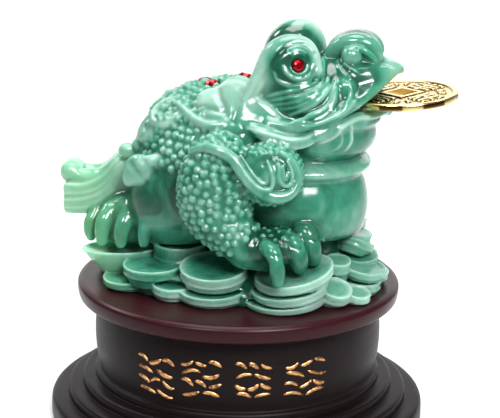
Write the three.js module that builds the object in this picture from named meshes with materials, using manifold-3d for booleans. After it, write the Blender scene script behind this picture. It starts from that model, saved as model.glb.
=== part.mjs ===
// Three-legged money toad in green resin on a bed of coins, with a gilt coin in its mouth,
// on a turned stand whose round top revolves. Millimetres, +Z up, the marked side faces -Y.
import * as THREE from 'three';
import { mergeVertices } from 'three/addons/utils/BufferGeometryUtils.js';
import Module from 'manifold-3d';

const wasm = await Module();
wasm.setup();

// Stand
const FOOT_DIAMETER = 141.5;
const FOOT_TIER_HEIGHT = 8;
const SECOND_TIER_DIAMETER = 128.6;
const SECOND_TIER_HEIGHT = 4;
const THIRD_TIER_DIAMETER = 117.6;
const THIRD_TIER_HEIGHT = 3.5;
const DRUM_BEAD_DIAMETER = 108;
const DRUM_BELLY_DIAMETER = 107.9;
const DRUM_TOP_DIAMETER = 105;
const DRUM_HEIGHT = 30.9;
const EDGE_ROUND = 1.4;

// Revolving top
const DISC_DIAMETER = 121;
const DISC_THICKNESS = 6.5;
const DISC_BEVEL = 1.2;
const BOSS_DIAMETER = 24;
const BOSS_LENGTH = 7;
const TURNING_CLEARANCE = 0.4;

// Figure and what it carries
const TOAD_LENGTH = 126;
const TOAD_TURN_DEG = -6;
const BED_LENGTH = 115;
const MOUTH_COIN_DIAMETER = 41;
const MOUTH_COIN_THICKNESS = 2.5;
const MOUTH_COIN_HOLE = 8.5;
const MOUTH_COIN_RISE_DEG = 3.5;
const MOUTH_COIN_LEAN_DEG = 1.5;
const MOUTH_COIN_TURN_DEG = 45;
const EYE_GEM_DIAMETER = 4.4;
const BACK_GEM_DIAMETER = 5.2;
const GEM_CLEARANCE = 0.3;

// Pieces that rest on each other keep this gap
const REST_GAP = 0.3;

const DRUM_FOOT_Z = FOOT_TIER_HEIGHT + SECOND_TIER_HEIGHT + THIRD_TIER_HEIGHT;
const DRUM_TOP_Z = DRUM_FOOT_Z + DRUM_HEIGHT;
const DISC_BOTTOM_Z = DRUM_TOP_Z + REST_GAP;
const DISC_TOP_Z = DISC_BOTTOM_Z + DISC_THICKNESS;
const FIGURE_Z = DISC_TOP_Z + REST_GAP;

const radians = THREE.MathUtils.degToRad;

// Solids from geometry, and geometry from solids
function solid(geometry) {
  const bare = geometry.clone();
  bare.deleteAttribute('normal');
  bare.deleteAttribute('uv');
  const merged = mergeVertices(bare, 1e-5);
  return new wasm.Manifold(new wasm.Mesh({
    numProp: 3,
    vertProperties: new Float32Array(merged.attributes.position.array),
    triVerts: new Uint32Array(merged.index.array),
  }));
}

function geometryOf(shape) {
  const mesh = shape.getMesh();
  const geometry = new THREE.BufferGeometry();
  geometry.setAttribute('position', new THREE.BufferAttribute(new Float32Array(mesh.vertProperties), 3));
  geometry.setIndex(new THREE.BufferAttribute(new Uint32Array(mesh.triVerts), 1));
  geometry.computeVertexNormals();
  return geometry;
}

// A profile of [radius, height] pairs, lowest first, spun about +Z
function turned(profile, sides) {
  const points = profile.map(([r, z]) => new THREE.Vector2(r, z));
  return new THREE.LatheGeometry(points, sides).rotateX(Math.PI / 2);
}

// Stand: three rounded steps, a hollow under the bead, a swelling drum, a recess for the boss
const FOOT_SIDES = 38;

function standSolid() {
  const tiers = [
    [FOOT_DIAMETER / 2, 0, FOOT_TIER_HEIGHT],
    [SECOND_TIER_DIAMETER / 2, FOOT_TIER_HEIGHT, SECOND_TIER_HEIGHT],
    [THIRD_TIER_DIAMETER / 2, FOOT_TIER_HEIGHT + SECOND_TIER_HEIGHT, THIRD_TIER_HEIGHT],
  ];
  const profile = [[0, 0], [FOOT_DIAMETER / 2 - EDGE_ROUND, 0]];
  tiers.forEach(([radius, low, height], i) => {
    if (i === 0) profile.push([radius, EDGE_ROUND]);
    else profile.push([radius, low]);
    const shoulder = [radius, low + height - EDGE_ROUND * 1.5];
    const top = [radius - EDGE_ROUND * 1.5, low + height];
    profile.push(shoulder, top);
  });
  const bead = [DRUM_BEAD_DIAMETER / 2, DRUM_FOOT_Z + 1.6];
  profile.push([bead[0], DRUM_FOOT_Z], bead, [bead[0] - 1.6, bead[1] + 1]);
  const low = [bead[0] - 1.6, bead[1] + 1];
  const span = DRUM_TOP_Z - EDGE_ROUND / 2 - low[1];
  const topRadius = DRUM_TOP_DIAMETER / 2;
  const belly = DRUM_BELLY_DIAMETER / 2;
  for (let i = 1; i <= 5; i++) {
    const t = i / 5;
    const chord = low[0] + (topRadius - low[0]) * t;
    profile.push([chord + (belly - (low[0] + topRadius) / 2) * 4 * t * (1 - t), low[1] + span * t]);
  }
  const recess = BOSS_DIAMETER / 2 + TURNING_CLEARANCE;
  const recessFloor = DISC_BOTTOM_Z - BOSS_LENGTH - REST_GAP;
  profile.push([topRadius - EDGE_ROUND / 2, DRUM_TOP_Z], [recess, DRUM_TOP_Z]);
  profile.push([recess, recessFloor], [0, recessFloor]);
  return solid(turned(profile, FOOT_SIDES));
}

function discSolid() {
  const radius = DISC_DIAMETER / 2;
  const boss = BOSS_DIAMETER / 2;
  return solid(turned([
    [0, DISC_BOTTOM_Z - BOSS_LENGTH], [boss, DISC_BOTTOM_Z - BOSS_LENGTH], [boss, DISC_BOTTOM_Z],
    [radius - DISC_BEVEL, DISC_BOTTOM_Z], [radius, DISC_BOTTOM_Z + DISC_BEVEL],
    [radius, DISC_TOP_Z - DISC_BEVEL], [radius - DISC_BEVEL, DISC_TOP_Z], [0, DISC_TOP_Z],
  ], FOOT_SIDES));
}

// Forms of the figure. Each is a distance to a rounded mass, in shares of the figure's length:
// the numbers are parts of which the figure is 126 long. x runs from tail to lip, y to the far
// side, z up from the bed's underside.
const PART = TOAD_LENGTH / 126;
const forms = [];

function join(k, form) {
  forms.push({ ...form, k, carve: false });
}

function carve(k, form) {
  forms.push({ ...form, k, carve: true });
}

// Box round a form's points, grown by its reach
function boxOf(points, reach) {
  const box = new THREE.Box3();
  points.forEach(([x, y, z]) => box.expandByPoint(new THREE.Vector3(x, y, z)));
  return box.expandByScalar(reach);
}

// An egg with radii r about c, tipped by angles about its own Y, X and Z axes
function egg(c, r, tip = [0, 0, 0]) {
  const order = new THREE.Euler(radians(tip[1]), radians(tip[0]), radians(tip[2]), 'ZYX');
  const m = new THREE.Matrix4().makeRotationFromEuler(order).invert().elements;
  const reach = Math.max(...r);
  return {
    box: boxOf([c], reach),
    distance(x, y, z) {
      const dx = x - c[0];
      const dy = y - c[1];
      const dz = z - c[2];
      const u = (m[0] * dx + m[4] * dy + m[8] * dz) / r[0];
      const v = (m[1] * dx + m[5] * dy + m[9] * dz) / r[1];
      const w = (m[2] * dx + m[6] * dy + m[10] * dz) / r[2];
      const near = Math.hypot(u, v, w);
      const far = Math.hypot(u / r[0], v / r[1], w / r[2]);
      return far < 1e-9 ? -Math.min(...r) : near * (near - 1) / far;
    },
  };
}

// A rounded strand through points [x, y, z, radius]
function strand(points) {
  const reach = Math.max(...points.map((p) => p[3]));
  return {
    box: boxOf(points, reach),
    distance(x, y, z) {
      let best = Infinity;
      for (let i = 0; i + 1 < points.length; i++) {
        const a = points[i];
        const b = points[i + 1];
        const bx = b[0] - a[0];
        const by = b[1] - a[1];
        const bz = b[2] - a[2];
        const along = ((x - a[0]) * bx + (y - a[1]) * by + (z - a[2]) * bz) / (bx * bx + by * by + bz * bz);
        const t = Math.min(1, Math.max(0, along));
        const d = Math.hypot(x - a[0] - bx * t, y - a[1] - by * t, z - a[2] - bz * t);
        best = Math.min(best, d - a[3] - (b[3] - a[3]) * t);
      }
      return best;
    },
  };
}

// A block with rounded edges
function block(c, half, round) {
  return {
    box: boxOf([[c[0] - half[0], c[1] - half[1], c[2] - half[2]], [c[0] + half[0], c[1] + half[1], c[2] + half[2]]], 1),
    distance(x, y, z) {
      const u = Math.abs(x - c[0]) - half[0] + round;
      const v = Math.abs(y - c[1]) - half[1] + round;
      const w = Math.abs(z - c[2]) - half[2] + round;
      const outside = Math.hypot(Math.max(u, 0), Math.max(v, 0), Math.max(w, 0));
      return outside + Math.min(Math.max(u, v, w), 0) - round;
    },
  };
}

const otherSide = ([x, y, ...rest]) => [x, -y, ...rest];

function eggs(k, c, r, tip = [0, 0, 0]) {
  join(k, egg(c, r, tip));
  join(k, egg(otherSide(c), r, [tip[0], -tip[1], -tip[2]]));
}

function strands(k, points, cut = false) {
  const add = cut ? carve : join;
  add(k, strand(points));
  add(k, strand(points.map(otherSide)));
}

const TRUNK = { at: [-6, 0, 43], radii: [34.5, 29, 31] };

// Trunk, haunches, belly cut off under its crease, core under it, roll, throat, neck and head
join(0, egg(TRUNK.at, TRUNK.radii));
eggs(5, [-22, -15.5, 31], [16.5, 11, 18]);
join(5, egg([22.4, 0, 30], [25.4, 28, 26]));
carve(1, block([34, 0, 10], [26, 40, 10.6], 1));
join(1, egg([20, 0, 14], [19, 22, 14]));
join(2.2, egg([24.4, 0, 45.6], [24, 26.5, 5.6]));
join(1.5, egg([27.4, 0, 57], [22.6, 24, 13]));
join(5, egg([1, 0, 62.5], [17, 20, 11]));
join(4, egg([24, 0, 71], [22, 24.5, 12.5]));

// Muzzle, fanned from its core out to each point of the upper lip
const UPPER_LIP = [
  [57.4, 0, 80.6, 1.1], [53.2, -8, 78.4, 1.7], [48.3, -14, 74.8, 2], [42.2, -18, 70.6, 2.2],
  [35.8, -22, 67.4, 2.2], [29, -25, 65.2, 2.2], [21.1, -27, 63.6, 2], [12.7, -28, 64.6, 1.6],
];
join(5, egg([36, 0, 78], [15, 14, 8], [-12, 0, 0]));
UPPER_LIP.slice(0, 6).forEach((p, i) => {
  const share = i / 5;
  const core = [35 - 14 * share, p[1] * 0.4, 80.5 - 8 * share, 6];
  strands(2, [[p[0] - 0.8, p[1], p[2] + 0.8, p[3]], core]);
});
eggs(2, [45.6, -12, 79.6], [3.6, 3, 3.4]);
eggs(2, [39, -15.8, 75.4], [3.4, 3.2, 4.4]);

// Open mouth, then the lips round it and the folds at its corners
carve(1, egg([56, 0, 75], [20, 15.5, 4.6], [-10, 0, 0]));
join(2, egg([30, 0, 62.4], [21.5, 22.5, 4]));
strands(1.2, UPPER_LIP);
strands(1.5, [
  [54, 0, 65, 1.4], [48.6, -10, 65.6, 1.9], [41.6, -16, 64.6, 2.4], [35.2, -20.5, 62.3, 2.8], [29, -24, 60, 2.6],
]);
strands(1.5, [[4, -28, 62.6, 3], [12, -29.4, 60.4, 3.6], [20, -28.8, 58.4, 3.6], [27, -26.4, 58.6, 3]]);

// Eye mounds with the hood that runs over each and down the neck
eggs(2.5, [18, -13.8, 81], [11.4, 8.8, 13], [8, 0, 0]);
strands(1.6, [
  [1.6, -21.4, 66.4, 1.8], [4.6, -19.8, 71.6, 2.4], [7.4, -18.8, 77.2, 2.8], [10.2, -17.2, 83.4, 3],
  [13.6, -16, 88.4, 3], [18.6, -15, 91.2, 3], [24, -14.8, 90.6, 2.8], [27.2, -15.6, 87, 2.4], [28.8, -17, 82, 1.9],
]);
strands(1, [[30.6, -18, 80.5, 1.6], [27.1, -21.5, 75.4, 1.8], [21.3, -24, 73.2, 1.8], [10.8, -24.5, 71.4, 1.6]]);
strands(1, [[34.6, -16.5, 76.5, 1.5], [32.8, -20, 70.9, 1.7], [27, -23.5, 68.6, 1.7], [18, -25, 67.2, 1.5]]);

// Nose: a bridge, the hood over each nostril and its curl
join(2, egg([41.6, 0, 86], [9.2, 8.6, 8.4]));
strands(1.4, [
  [32.6, -3.6, 85.6, 2.4], [35.2, -4.4, 88.6, 2.9], [39.2, -5, 90.4, 3.2], [43.6, -5.4, 90.6, 3.3],
  [47.2, -5.2, 89.2, 3.1], [49.2, -4.8, 86.8, 2.4],
]);
eggs(0.8, [40.4, -9, 86.4], [3.8, 3.6, 3.8]);
strands(1, [[49, -7.8, 84.2, 1.4], [46.8, -9.6, 82.2, 1.5], [42.6, -11, 81.2, 1.6], [38.4, -11, 82.6, 1.6]]);

// Front legs: elbow mass, shoulder with its ridge, forearm, paw and three toes
eggs(2.5, [-5, -30.5, 41.5], [13.2, 11.5, 19], [6, 0, 0]);
eggs(1.5, [14, -30.5, 47.5], [11.5, 11.5, 11]);
strands(3, [[-2, -33, 30, 10], [6.5, -36, 21, 7.4], [13, -34, 19.5, 7]]);
eggs(3, [17.4, -33.4, 21.6], [10, 10.4, 6.8]);
const ARM_RIDGE = [
  [-13.4, -34.6, 55.4, 1.8], [-8.6, -37.4, 57.6, 2.4], [-3.1, -39.2, 57, 2.6], [2, -40.4, 54.6, 2.6],
  [5.6, -41.2, 49.6, 2.5], [10.6, -41.4, 44.2, 2.6], [17, -41.2, 41.8, 2.6], [22.1, -39.6, 43, 2.4],
  [24.4, -37.6, 47.3, 2.2], [22.7, -37, 52.7, 1.8],
];
strands(0.8, ARM_RIDGE);
const TOES = [
  [[15.4, -43.8, 23.6, 2.8], [17.4, -45.6, 21.8, 2.6], [18.4, -46.8, 19.6, 2.6], [18.8, -47.2, 15.6, 2.5], [19, -47.3, 12.8, 2.1]],
  [[21.2, -37.6, 25.2, 3.1], [23.8, -39, 23.6, 3.2], [25.2, -39.4, 20.6, 3.8], [26, -39, 17.2, 2.8]],
  [[26, -31, 27.4, 3], [28.6, -32.6, 25.4, 3.1], [29.8, -33, 22, 3.6], [30.4, -32.6, 18, 2.6]],
];
TOES.forEach((toe) => strands(1.6, toe));

// Single hind leg: foot under the tail and four toes, turned to the near side
join(3, egg([-39, -4, 24.6], [12.5, 13.4, 8.6]));
join(3, egg([-41, -4, 18.4], [12, 12, 7]));
[
  [[-53.4, -8.4, 23.6, 3], [-54.2, -10, 19.6, 2.9], [-53.9, -10.8, 15.4, 2.2]],
  [[-47.2, -14, 26.4, 3.5], [-48.2, -16.2, 22, 3.7], [-48.4, -17.2, 17.2, 2.6]],
  [[-39.8, -16.4, 26.2, 3.5], [-40.8, -18.6, 22.2, 3.7], [-41, -19.6, 17.8, 2.6]],
  [[-31.4, -20, 25.4, 2.9], [-31.9, -21.8, 22.4, 2.9], [-31.9, -22.4, 19.2, 2.1]],
].forEach((toe) => join(1, strand(toe)));

// Tail: a stepped block, a hollow saddle up to the body, bands on its sides and a rolled end
join(2, block([-54.4, 0, 28.2], [10.8, 7.6, 5.6], 1.4));
join(2, strand([[-56, 0, 30, 6], [-48, 0, 32, 8], [-41, 0, 36, 9.5]]));
strands(2, [
  [-61, -3.4, 36.4, 3.2], [-58.4, -3.8, 36, 3.3], [-54, -4, 35.6, 3.8], [-50, -4, 36.6, 4.2],
  [-46, -4, 39.2, 4.4], [-42, -4.4, 43, 4.4],
]);
strands(1.5, [[-62.4, -5.6, 31.8, 2.5], [-57.6, -5.8, 32, 2.6], [-50.4, -6.4, 35.4, 2.8], [-44.4, -7.2, 42.6, 2.8]]);
strands(1.5, [[-62.6, -5.8, 26.6, 2.3], [-56.7, -6.2, 27.4, 2.5], [-49.5, -7, 31, 2.8], [-43.6, -7.8, 39, 2.8]]);
join(0.6, strand([[-63.2, -2.6, 37.6, 4.2], [-63.2, 2.6, 37.6, 4.2]]));
join(0.6, egg([-40.9, -9.6, 48.8], [3, 3, 3]));

// Leaf lobes on the flank, and the ribbon and lobes over the back
eggs(0.8, [-35, -20.4, 44], [6.6, 4.2, 5], [-32, 0, 0]);
join(1.2, egg([-3.4, -15.4, 71.4], [8.8, 5, 6.4]));
join(1.2, egg([-3.4, 15.4, 65.4], [8.8, 5, 6.4]));
eggs(0.8, [7.2, -21.6, 68.6], [6.4, 2.6, 3.8], [18, 0, 0]);
strands(0.8, [
  [-23.4, -13.4, 68.4, 1.2], [-20.1, -15.8, 67, 1.7], [-16.6, -19, 64.9, 2], [-13.4, -21.5, 63.2, 2.1],
  [-9.5, -23.5, 62.3, 2], [-5.1, -24.5, 62.9, 1.8], [-2, -24, 65, 1.4],
]);

// Mound that the coins of the bed are pressed into
join(4, egg([-1, -2, 1], [47, 37, 13]));

// Signed distance of the whole figure, forms blended in order
function figureDistance(x, y, z, list) {
  let d = 1e3;
  for (let i = 0; i < list.length; i++) {
    const form = list[i];
    const e = form.distance(x, y, z);
    const k = Math.max(form.k, 1e-6);
    if (form.carve) {
      const h = Math.max(k - Math.abs(d + e), 0) / k;
      d = Math.max(d, -e) + h * h * k / 4;
    } else {
      const h = Math.max(k - Math.abs(d - e), 0) / k;
      d = Math.min(d, e) - h * h * k / 4;
    }
  }
  return d;
}

// Skin of the distance field on a grid of cubes, each cut into six tetrahedra
function skin(step, low, high) {
  const n = [0, 1, 2].map((a) => Math.ceil((high[a] - low[a]) / step) + 1);
  const field = new Float32Array(n[0] * n[1] * n[2]);
  const at = (i, j, k) => (k * n[1] + j) * n[0] + i;
  const cell = 8;
  for (let k0 = 0; k0 < n[2]; k0 += cell) {
    for (let j0 = 0; j0 < n[1]; j0 += cell) {
      for (let i0 = 0; i0 < n[0]; i0 += cell) {
        const room = new THREE.Box3(
          new THREE.Vector3(low[0] + i0 * step, low[1] + j0 * step, low[2] + k0 * step),
          new THREE.Vector3(low[0] + (i0 + cell) * step, low[1] + (j0 + cell) * step, low[2] + (k0 + cell) * step),
        );
        const near = forms.filter((f) => room.clone().expandByScalar(f.k + 2 * step).intersectsBox(f.box));
        for (let k = k0; k < Math.min(k0 + cell, n[2]); k++) {
          for (let j = j0; j < Math.min(j0 + cell, n[1]); j++) {
            for (let i = i0; i < Math.min(i0 + cell, n[0]); i++) {
              const d = figureDistance(low[0] + i * step, low[1] + j * step, low[2] + k * step, near);
              field[at(i, j, k)] = Math.abs(d) < 1e-4 ? 1e-4 : d;
            }
          }
        }
      }
    }
  }
  const corner = [[0, 0, 0], [1, 0, 0], [0, 1, 0], [1, 1, 0], [0, 0, 1], [1, 0, 1], [0, 1, 1], [1, 1, 1]];
  const cut = [[0, 1, 3, 7], [0, 3, 2, 7], [0, 2, 6, 7], [0, 6, 4, 7], [0, 4, 5, 7], [0, 5, 1, 7]];
  const positions = [];
  const faces = [];
  const made = new Map();
  const crossing = (a, b) => {
    const key = a < b ? a * field.length + b : b * field.length + a;
    let index = made.get(key);
    if (index === undefined) {
      const t = Math.min(0.92, Math.max(0.08, field[a] / (field[a] - field[b])));
      const pa = [a % n[0], Math.floor(a / n[0]) % n[1], Math.floor(a / (n[0] * n[1]))];
      const pb = [b % n[0], Math.floor(b / n[0]) % n[1], Math.floor(b / (n[0] * n[1]))];
      index = positions.length / 3;
      for (let c = 0; c < 3; c++) positions.push(low[c] + (pa[c] + (pb[c] - pa[c]) * t) * step);
      made.set(key, index);
    }
    return index;
  };
  for (let k = 0; k + 1 < n[2]; k++) {
    for (let j = 0; j + 1 < n[1]; j++) {
      for (let i = 0; i + 1 < n[0]; i++) {
        const ids = corner.map(([u, v, w]) => at(i + u, j + v, k + w));
        const inside = ids.map((id) => field[id] < 0);
        if (inside.every((v) => v) || !inside.some((v) => v)) continue;
        for (const tet of cut) {
          const ins = tet.filter((v) => inside[v]);
          const outs = tet.filter((v) => !inside[v]);
          if (!ins.length || !outs.length) continue;
          const even = isEven(tet, [...ins, ...outs]);
          const p = (a, b) => crossing(ids[a], ids[b]);
          if (ins.length === 1) {
            pushFace(faces, [p(ins[0], outs[0]), p(ins[0], outs[1]), p(ins[0], outs[2])], even);
          } else if (ins.length === 3) {
            pushFace(faces, [p(ins[0], outs[0]), p(ins[1], outs[0]), p(ins[2], outs[0])], even);
          } else {
            const q = [p(ins[0], outs[0]), p(ins[0], outs[1]), p(ins[1], outs[1]), p(ins[1], outs[0])];
            pushFace(faces, [q[0], q[1], q[2]], even);
            pushFace(faces, [q[0], q[2], q[3]], even);
          }
        }
      }
    }
  }
  return { positions: Float64Array.from(positions), faces: Int32Array.from(faces) };
}

// Whether one order of four corners is an even shuffle of another
function isEven(from, to) {
  let even = true;
  const order = to.map((v) => from.indexOf(v));
  for (let i = 0; i < 4; i++) {
    for (let j = i + 1; j < 4; j++) if (order[i] > order[j]) even = !even;
  }
  return even;
}

function pushFace(faces, [a, b, c], even) {
  if (even) faces.push(a, b, c);
  else faces.push(a, c, b);
}

// Fewer facets: edges whose removal bends the skin least go first
function thinned({ positions, faces }, target) {
  const count = positions.length / 3;
  const quadric = new Float64Array(count * 10);
  const around = Array.from({ length: count }, () => []);
  const alive = new Uint8Array(faces.length / 3).fill(1);
  const version = new Int32Array(count);
  const normal = (a, b, c) => {
    const ux = positions[b * 3] - positions[a * 3];
    const uy = positions[b * 3 + 1] - positions[a * 3 + 1];
    const uz = positions[b * 3 + 2] - positions[a * 3 + 2];
    const vx = positions[c * 3] - positions[a * 3];
    const vy = positions[c * 3 + 1] - positions[a * 3 + 1];
    const vz = positions[c * 3 + 2] - positions[a * 3 + 2];
    return [uy * vz - uz * vy, uz * vx - ux * vz, ux * vy - uy * vx];
  };
  for (let f = 0; f < alive.length; f++) {
    const corners = [faces[f * 3], faces[f * 3 + 1], faces[f * 3 + 2]];
    const n = normal(...corners);
    const size = Math.hypot(...n) || 1e-12;
    const [a, b, c] = n.map((v) => v / size);
    const p = corners[0] * 3;
    const d = -(a * positions[p] + b * positions[p + 1] + c * positions[p + 2]);
    const terms = [a * a, a * b, a * c, a * d, b * b, b * c, b * d, c * c, c * d, d * d];
    for (const v of corners) {
      around[v].push(f);
      for (let t = 0; t < 10; t++) quadric[v * 10 + t] += terms[t] * size / 2;
    }
  }
  const bend = (q, x, y, z) => q[0] * x * x + 2 * q[1] * x * y + 2 * q[2] * x * z + 2 * q[3] * x
    + q[4] * y * y + 2 * q[5] * y * z + 2 * q[6] * y + q[7] * z * z + 2 * q[8] * z + q[9];
  const best = (a, b) => {
    const q = new Float64Array(10);
    for (let t = 0; t < 10; t++) q[t] = quadric[a * 10 + t] + quadric[b * 10 + t];
    const pa = positions.subarray(a * 3, a * 3 + 3);
    const pb = positions.subarray(b * 3, b * 3 + 3);
    const length = Math.hypot(pa[0] - pb[0], pa[1] - pb[1], pa[2] - pb[2]);
    const candidates = [[...pa], [...pb], [(pa[0] + pb[0]) / 2, (pa[1] + pb[1]) / 2, (pa[2] + pb[2]) / 2]];
    const det = q[0] * (q[4] * q[7] - q[5] * q[5]) - q[1] * (q[1] * q[7] - q[5] * q[2]) + q[2] * (q[1] * q[5] - q[4] * q[2]);
    if (Math.abs(det) > 1e-6) {
      const x = (-q[3] * (q[4] * q[7] - q[5] * q[5]) + q[1] * (q[6] * q[7] - q[5] * q[8]) - q[2] * (q[6] * q[5] - q[4] * q[8])) / det;
      const y = (q[0] * (-q[6] * q[7] + q[8] * q[5]) + q[3] * (q[1] * q[7] - q[5] * q[2]) + q[2] * (-q[1] * q[8] + q[6] * q[2])) / det;
      const z = (q[0] * (-q[4] * q[8] + q[6] * q[5]) - q[1] * (-q[1] * q[8] + q[6] * q[2]) - q[3] * (q[1] * q[5] - q[4] * q[2])) / det;
      const mid = candidates[2];
      if (Math.hypot(x - mid[0], y - mid[1], z - mid[2]) < length * 1.5) candidates.push([x, y, z]);
    }
    let point = candidates[0];
    let cost = Infinity;
    for (const c of candidates) {
      const e = bend(q, ...c);
      if (e < cost) {
        cost = e;
        point = c;
      }
    }
    return { cost: cost + length * length * 1e-4, point };
  };
  const heap = [];
  const push = (item) => {
    let i = heap.push(item) - 1;
    while (i > 0) {
      const up = (i - 1) >> 1;
      if (heap[up].cost <= heap[i].cost) break;
      [heap[up], heap[i]] = [heap[i], heap[up]];
      i = up;
    }
  };
  const pop = () => {
    const top = heap[0];
    const last = heap.pop();
    if (heap.length) {
      heap[0] = last;
      let i = 0;
      for (;;) {
        const l = 2 * i + 1;
        if (l >= heap.length) break;
        const s = l + 1 < heap.length && heap[l + 1].cost < heap[l].cost ? l + 1 : l;
        if (heap[i].cost <= heap[s].cost) break;
        [heap[s], heap[i]] = [heap[i], heap[s]];
        i = s;
      }
    }
    return top;
  };
  const neighbours = (v) => {
    const set = new Set();
    for (const f of around[v]) for (let c = 0; c < 3; c++) set.add(faces[f * 3 + c]);
    set.delete(v);
    return set;
  };
  const offer = (a, b) => {
    const { cost, point } = best(a, b);
    push({ cost, point, a, b, va: version[a], vb: version[b] });
  };
  for (let v = 0; v < count; v++) for (const w of neighbours(v)) if (w > v) offer(v, w);
  let left = alive.length;
  while (left > target && heap.length) {
    const { a, b, va, vb, point } = pop();
    if (version[a] !== va || version[b] !== vb || !around[a].length || !around[b].length) continue;
    const na = neighbours(a);
    const nb = neighbours(b);
    let shared = 0;
    for (const v of na) if (nb.has(v)) shared++;
    if (shared !== 2) continue;
    let flips = false;
    for (const v of [a, b]) {
      for (const f of around[v]) {
        const t = [faces[f * 3], faces[f * 3 + 1], faces[f * 3 + 2]];
        if (t.includes(a) && t.includes(b)) continue;
        const before = normal(...t);
        const kept = [positions[v * 3], positions[v * 3 + 1], positions[v * 3 + 2]];
        positions.set(point, v * 3);
        const after = normal(...t);
        positions.set(kept, v * 3);
        const dot = before[0] * after[0] + before[1] * after[1] + before[2] * after[2];
        const sizes = Math.hypot(...before) * Math.hypot(...after);
        if (dot < sizes * 0.4 || sizes < 1e-9) flips = true;
      }
    }
    if (flips) continue;
    positions.set(point, a * 3);
    for (let t = 0; t < 10; t++) quadric[a * 10 + t] += quadric[b * 10 + t];
    for (const f of around[b]) {
      const t = [faces[f * 3], faces[f * 3 + 1], faces[f * 3 + 2]];
      if (t.includes(a)) {
        alive[f] = 0;
        left--;
        for (const v of t) if (v !== b) around[v] = around[v].filter((g) => g !== f);
      } else {
        for (let c = 0; c < 3; c++) if (faces[f * 3 + c] === b) faces[f * 3 + c] = a;
        around[a].push(f);
      }
    }
    around[b] = [];
    version[a]++;
    version[b]++;
    for (const v of neighbours(a)) offer(a, v);
  }
  const index = [];
  alive.forEach((keep, f) => {
    if (keep) index.push(faces[f * 3], faces[f * 3 + 1], faces[f * 3 + 2]);
  });
  const geometry = new THREE.BufferGeometry();
  geometry.setAttribute('position', new THREE.BufferAttribute(new Float32Array(positions), 3));
  geometry.setIndex(index);
  return geometry;
}

// One pressed coin of the bed: a dished top with a rim and a wall that narrows downwards
function bedCoin([x, y, top, radius, tilt = 0, heading = 0, depth = 6], sides) {
  const geometry = turned([
    [0, -depth], [radius * 0.8, -depth], [radius, -1], [radius, 0], [0, -0.8],
  ], sides);
  geometry.rotateY(radians(tilt)).rotateZ(radians(heading)).translate(x, y, top);
  return solid(geometry);
}

// Coins of the bed in shares of its length: the numbers are parts of which it is 115 long.
// Each row: x, y, height of the top, radius, tilt, heading of the tilt, depth
const BED_PART = BED_LENGTH / 115;
const BED_FRONT = [
  [-8.8, -31, 12.8, 12.4, 9, -100, 8], [-9.2, -31.2, 5, 12.8, 4, -100, 6],
  [19.9, -34.6, 12.8, 14.4, 14, -150, 6], [18.4, -35.2, 7.4, 14, 9, -150, 6], [16.6, -34.4, 3, 14.6, 4, -140, 4],
  [-31, -21, 10.3, 11.3, 2.5, -120, 7], [-21.4, -12.5, 16.6, 10.5, 4, -110, 12], [-23.2, -29, 5.4, 8, 4, -110, 6],
  [-40, -16.6, 4.4, 10, 6, -130, 5], [-22, -16, 7, 12, 4, -110, 7],
  [35.2, -35, 6.7, 6.2, 22, -60, 8], [43.2, -31.6, 4.2, 5, 16, -50, 5], [46.2, -20, 10.4, 8.1, 10, -40, 5],
  [44.6, -20, 5.6, 8, 6, -40, 6], [36, -25, 14, 5, 12, -70, 8], [43.6, -8, 16.8, 7.4, 26, 40, 6],
  [49, -7, 5.4, 7.4, 8, -20, 6], [44, -10, 12.2, 8, 12, -60, 7],
];
const BED_SIDE = [
  [43.4, 6, 9, 9.5, 8, 0, 8], [42.6, 14, 19.6, 6.6, 14, 20, 6], [43.8, 12, 14.4, 7.4, 10, 10, 8],
  [41, 24, 8, 9, 8, 30, 8], [39.4, 14, 24.6, 6, 12, 30, 8], [-44, 6, 8, 11, 8, 180, 8],
];

// Far side and back: two courses of coins at even angles round the bed
function bedCourse(from, to, number, reach, width, top, radius) {
  const rows = [];
  for (let i = 0; i < number; i++) {
    const a = from + (to - from) * (i / (number - 1));
    const c = Math.cos(radians(a));
    const s = Math.sin(radians(a));
    rows.push([c * reach - 2, s * width, top + (i % 2) * 1.6, radius + (i % 3) * 0.7, 8, a, top]);
  }
  return rows;
}

// Boat-shaped ingot under the hind foot: a narrow foot that flares to long raised ends.
// Each ring: height, half length, half width
const INGOT_RINGS = [[-0.2, 5.2, 4], [3, 6.2, 4.4], [8, 10.2, 6.6], [12.6, 13.8, 8.6]];
const INGOT_SIDES = 16;
const INGOT_LIFT = 1;
const INGOT_SINK = 1.6;
const INGOT_PLACE = [-44.4, -9.5];
const INGOT_TURN_DEG = 4;

function ingot() {
  const rings = INGOT_RINGS;
  const sides = INGOT_SIDES;
  const positions = [];
  const index = [];
  rings.forEach(([z, a, b], ring) => {
    for (let i = 0; i < sides; i++) {
      const t = (i / sides) * Math.PI * 2;
      const lift = ring === rings.length - 1 ? INGOT_LIFT * Math.cos(t) ** 2 : 0;
      positions.push(Math.cos(t) * a, Math.sin(t) * b, z + lift);
    }
  });
  positions.push(0, 0, rings[0][0], 0, 0, rings[3][0] - INGOT_SINK);
  const base = rings.length * sides;
  for (let i = 0; i < sides; i++) {
    const j = (i + 1) % sides;
    for (let r = 0; r + 1 < rings.length; r++) {
      index.push(r * sides + i, r * sides + j, (r + 1) * sides + j);
      index.push(r * sides + i, (r + 1) * sides + j, (r + 1) * sides + i);
    }
    index.push(base, j, i);
    index.push(base + 1, 3 * sides + i, 3 * sides + j);
  }
  const geometry = new THREE.BufferGeometry();
  geometry.setAttribute('position', new THREE.Float32BufferAttribute(positions, 3));
  geometry.setIndex(index);
  return geometry.rotateZ(radians(INGOT_TURN_DEG)).translate(...INGOT_PLACE, 0);
}

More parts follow.
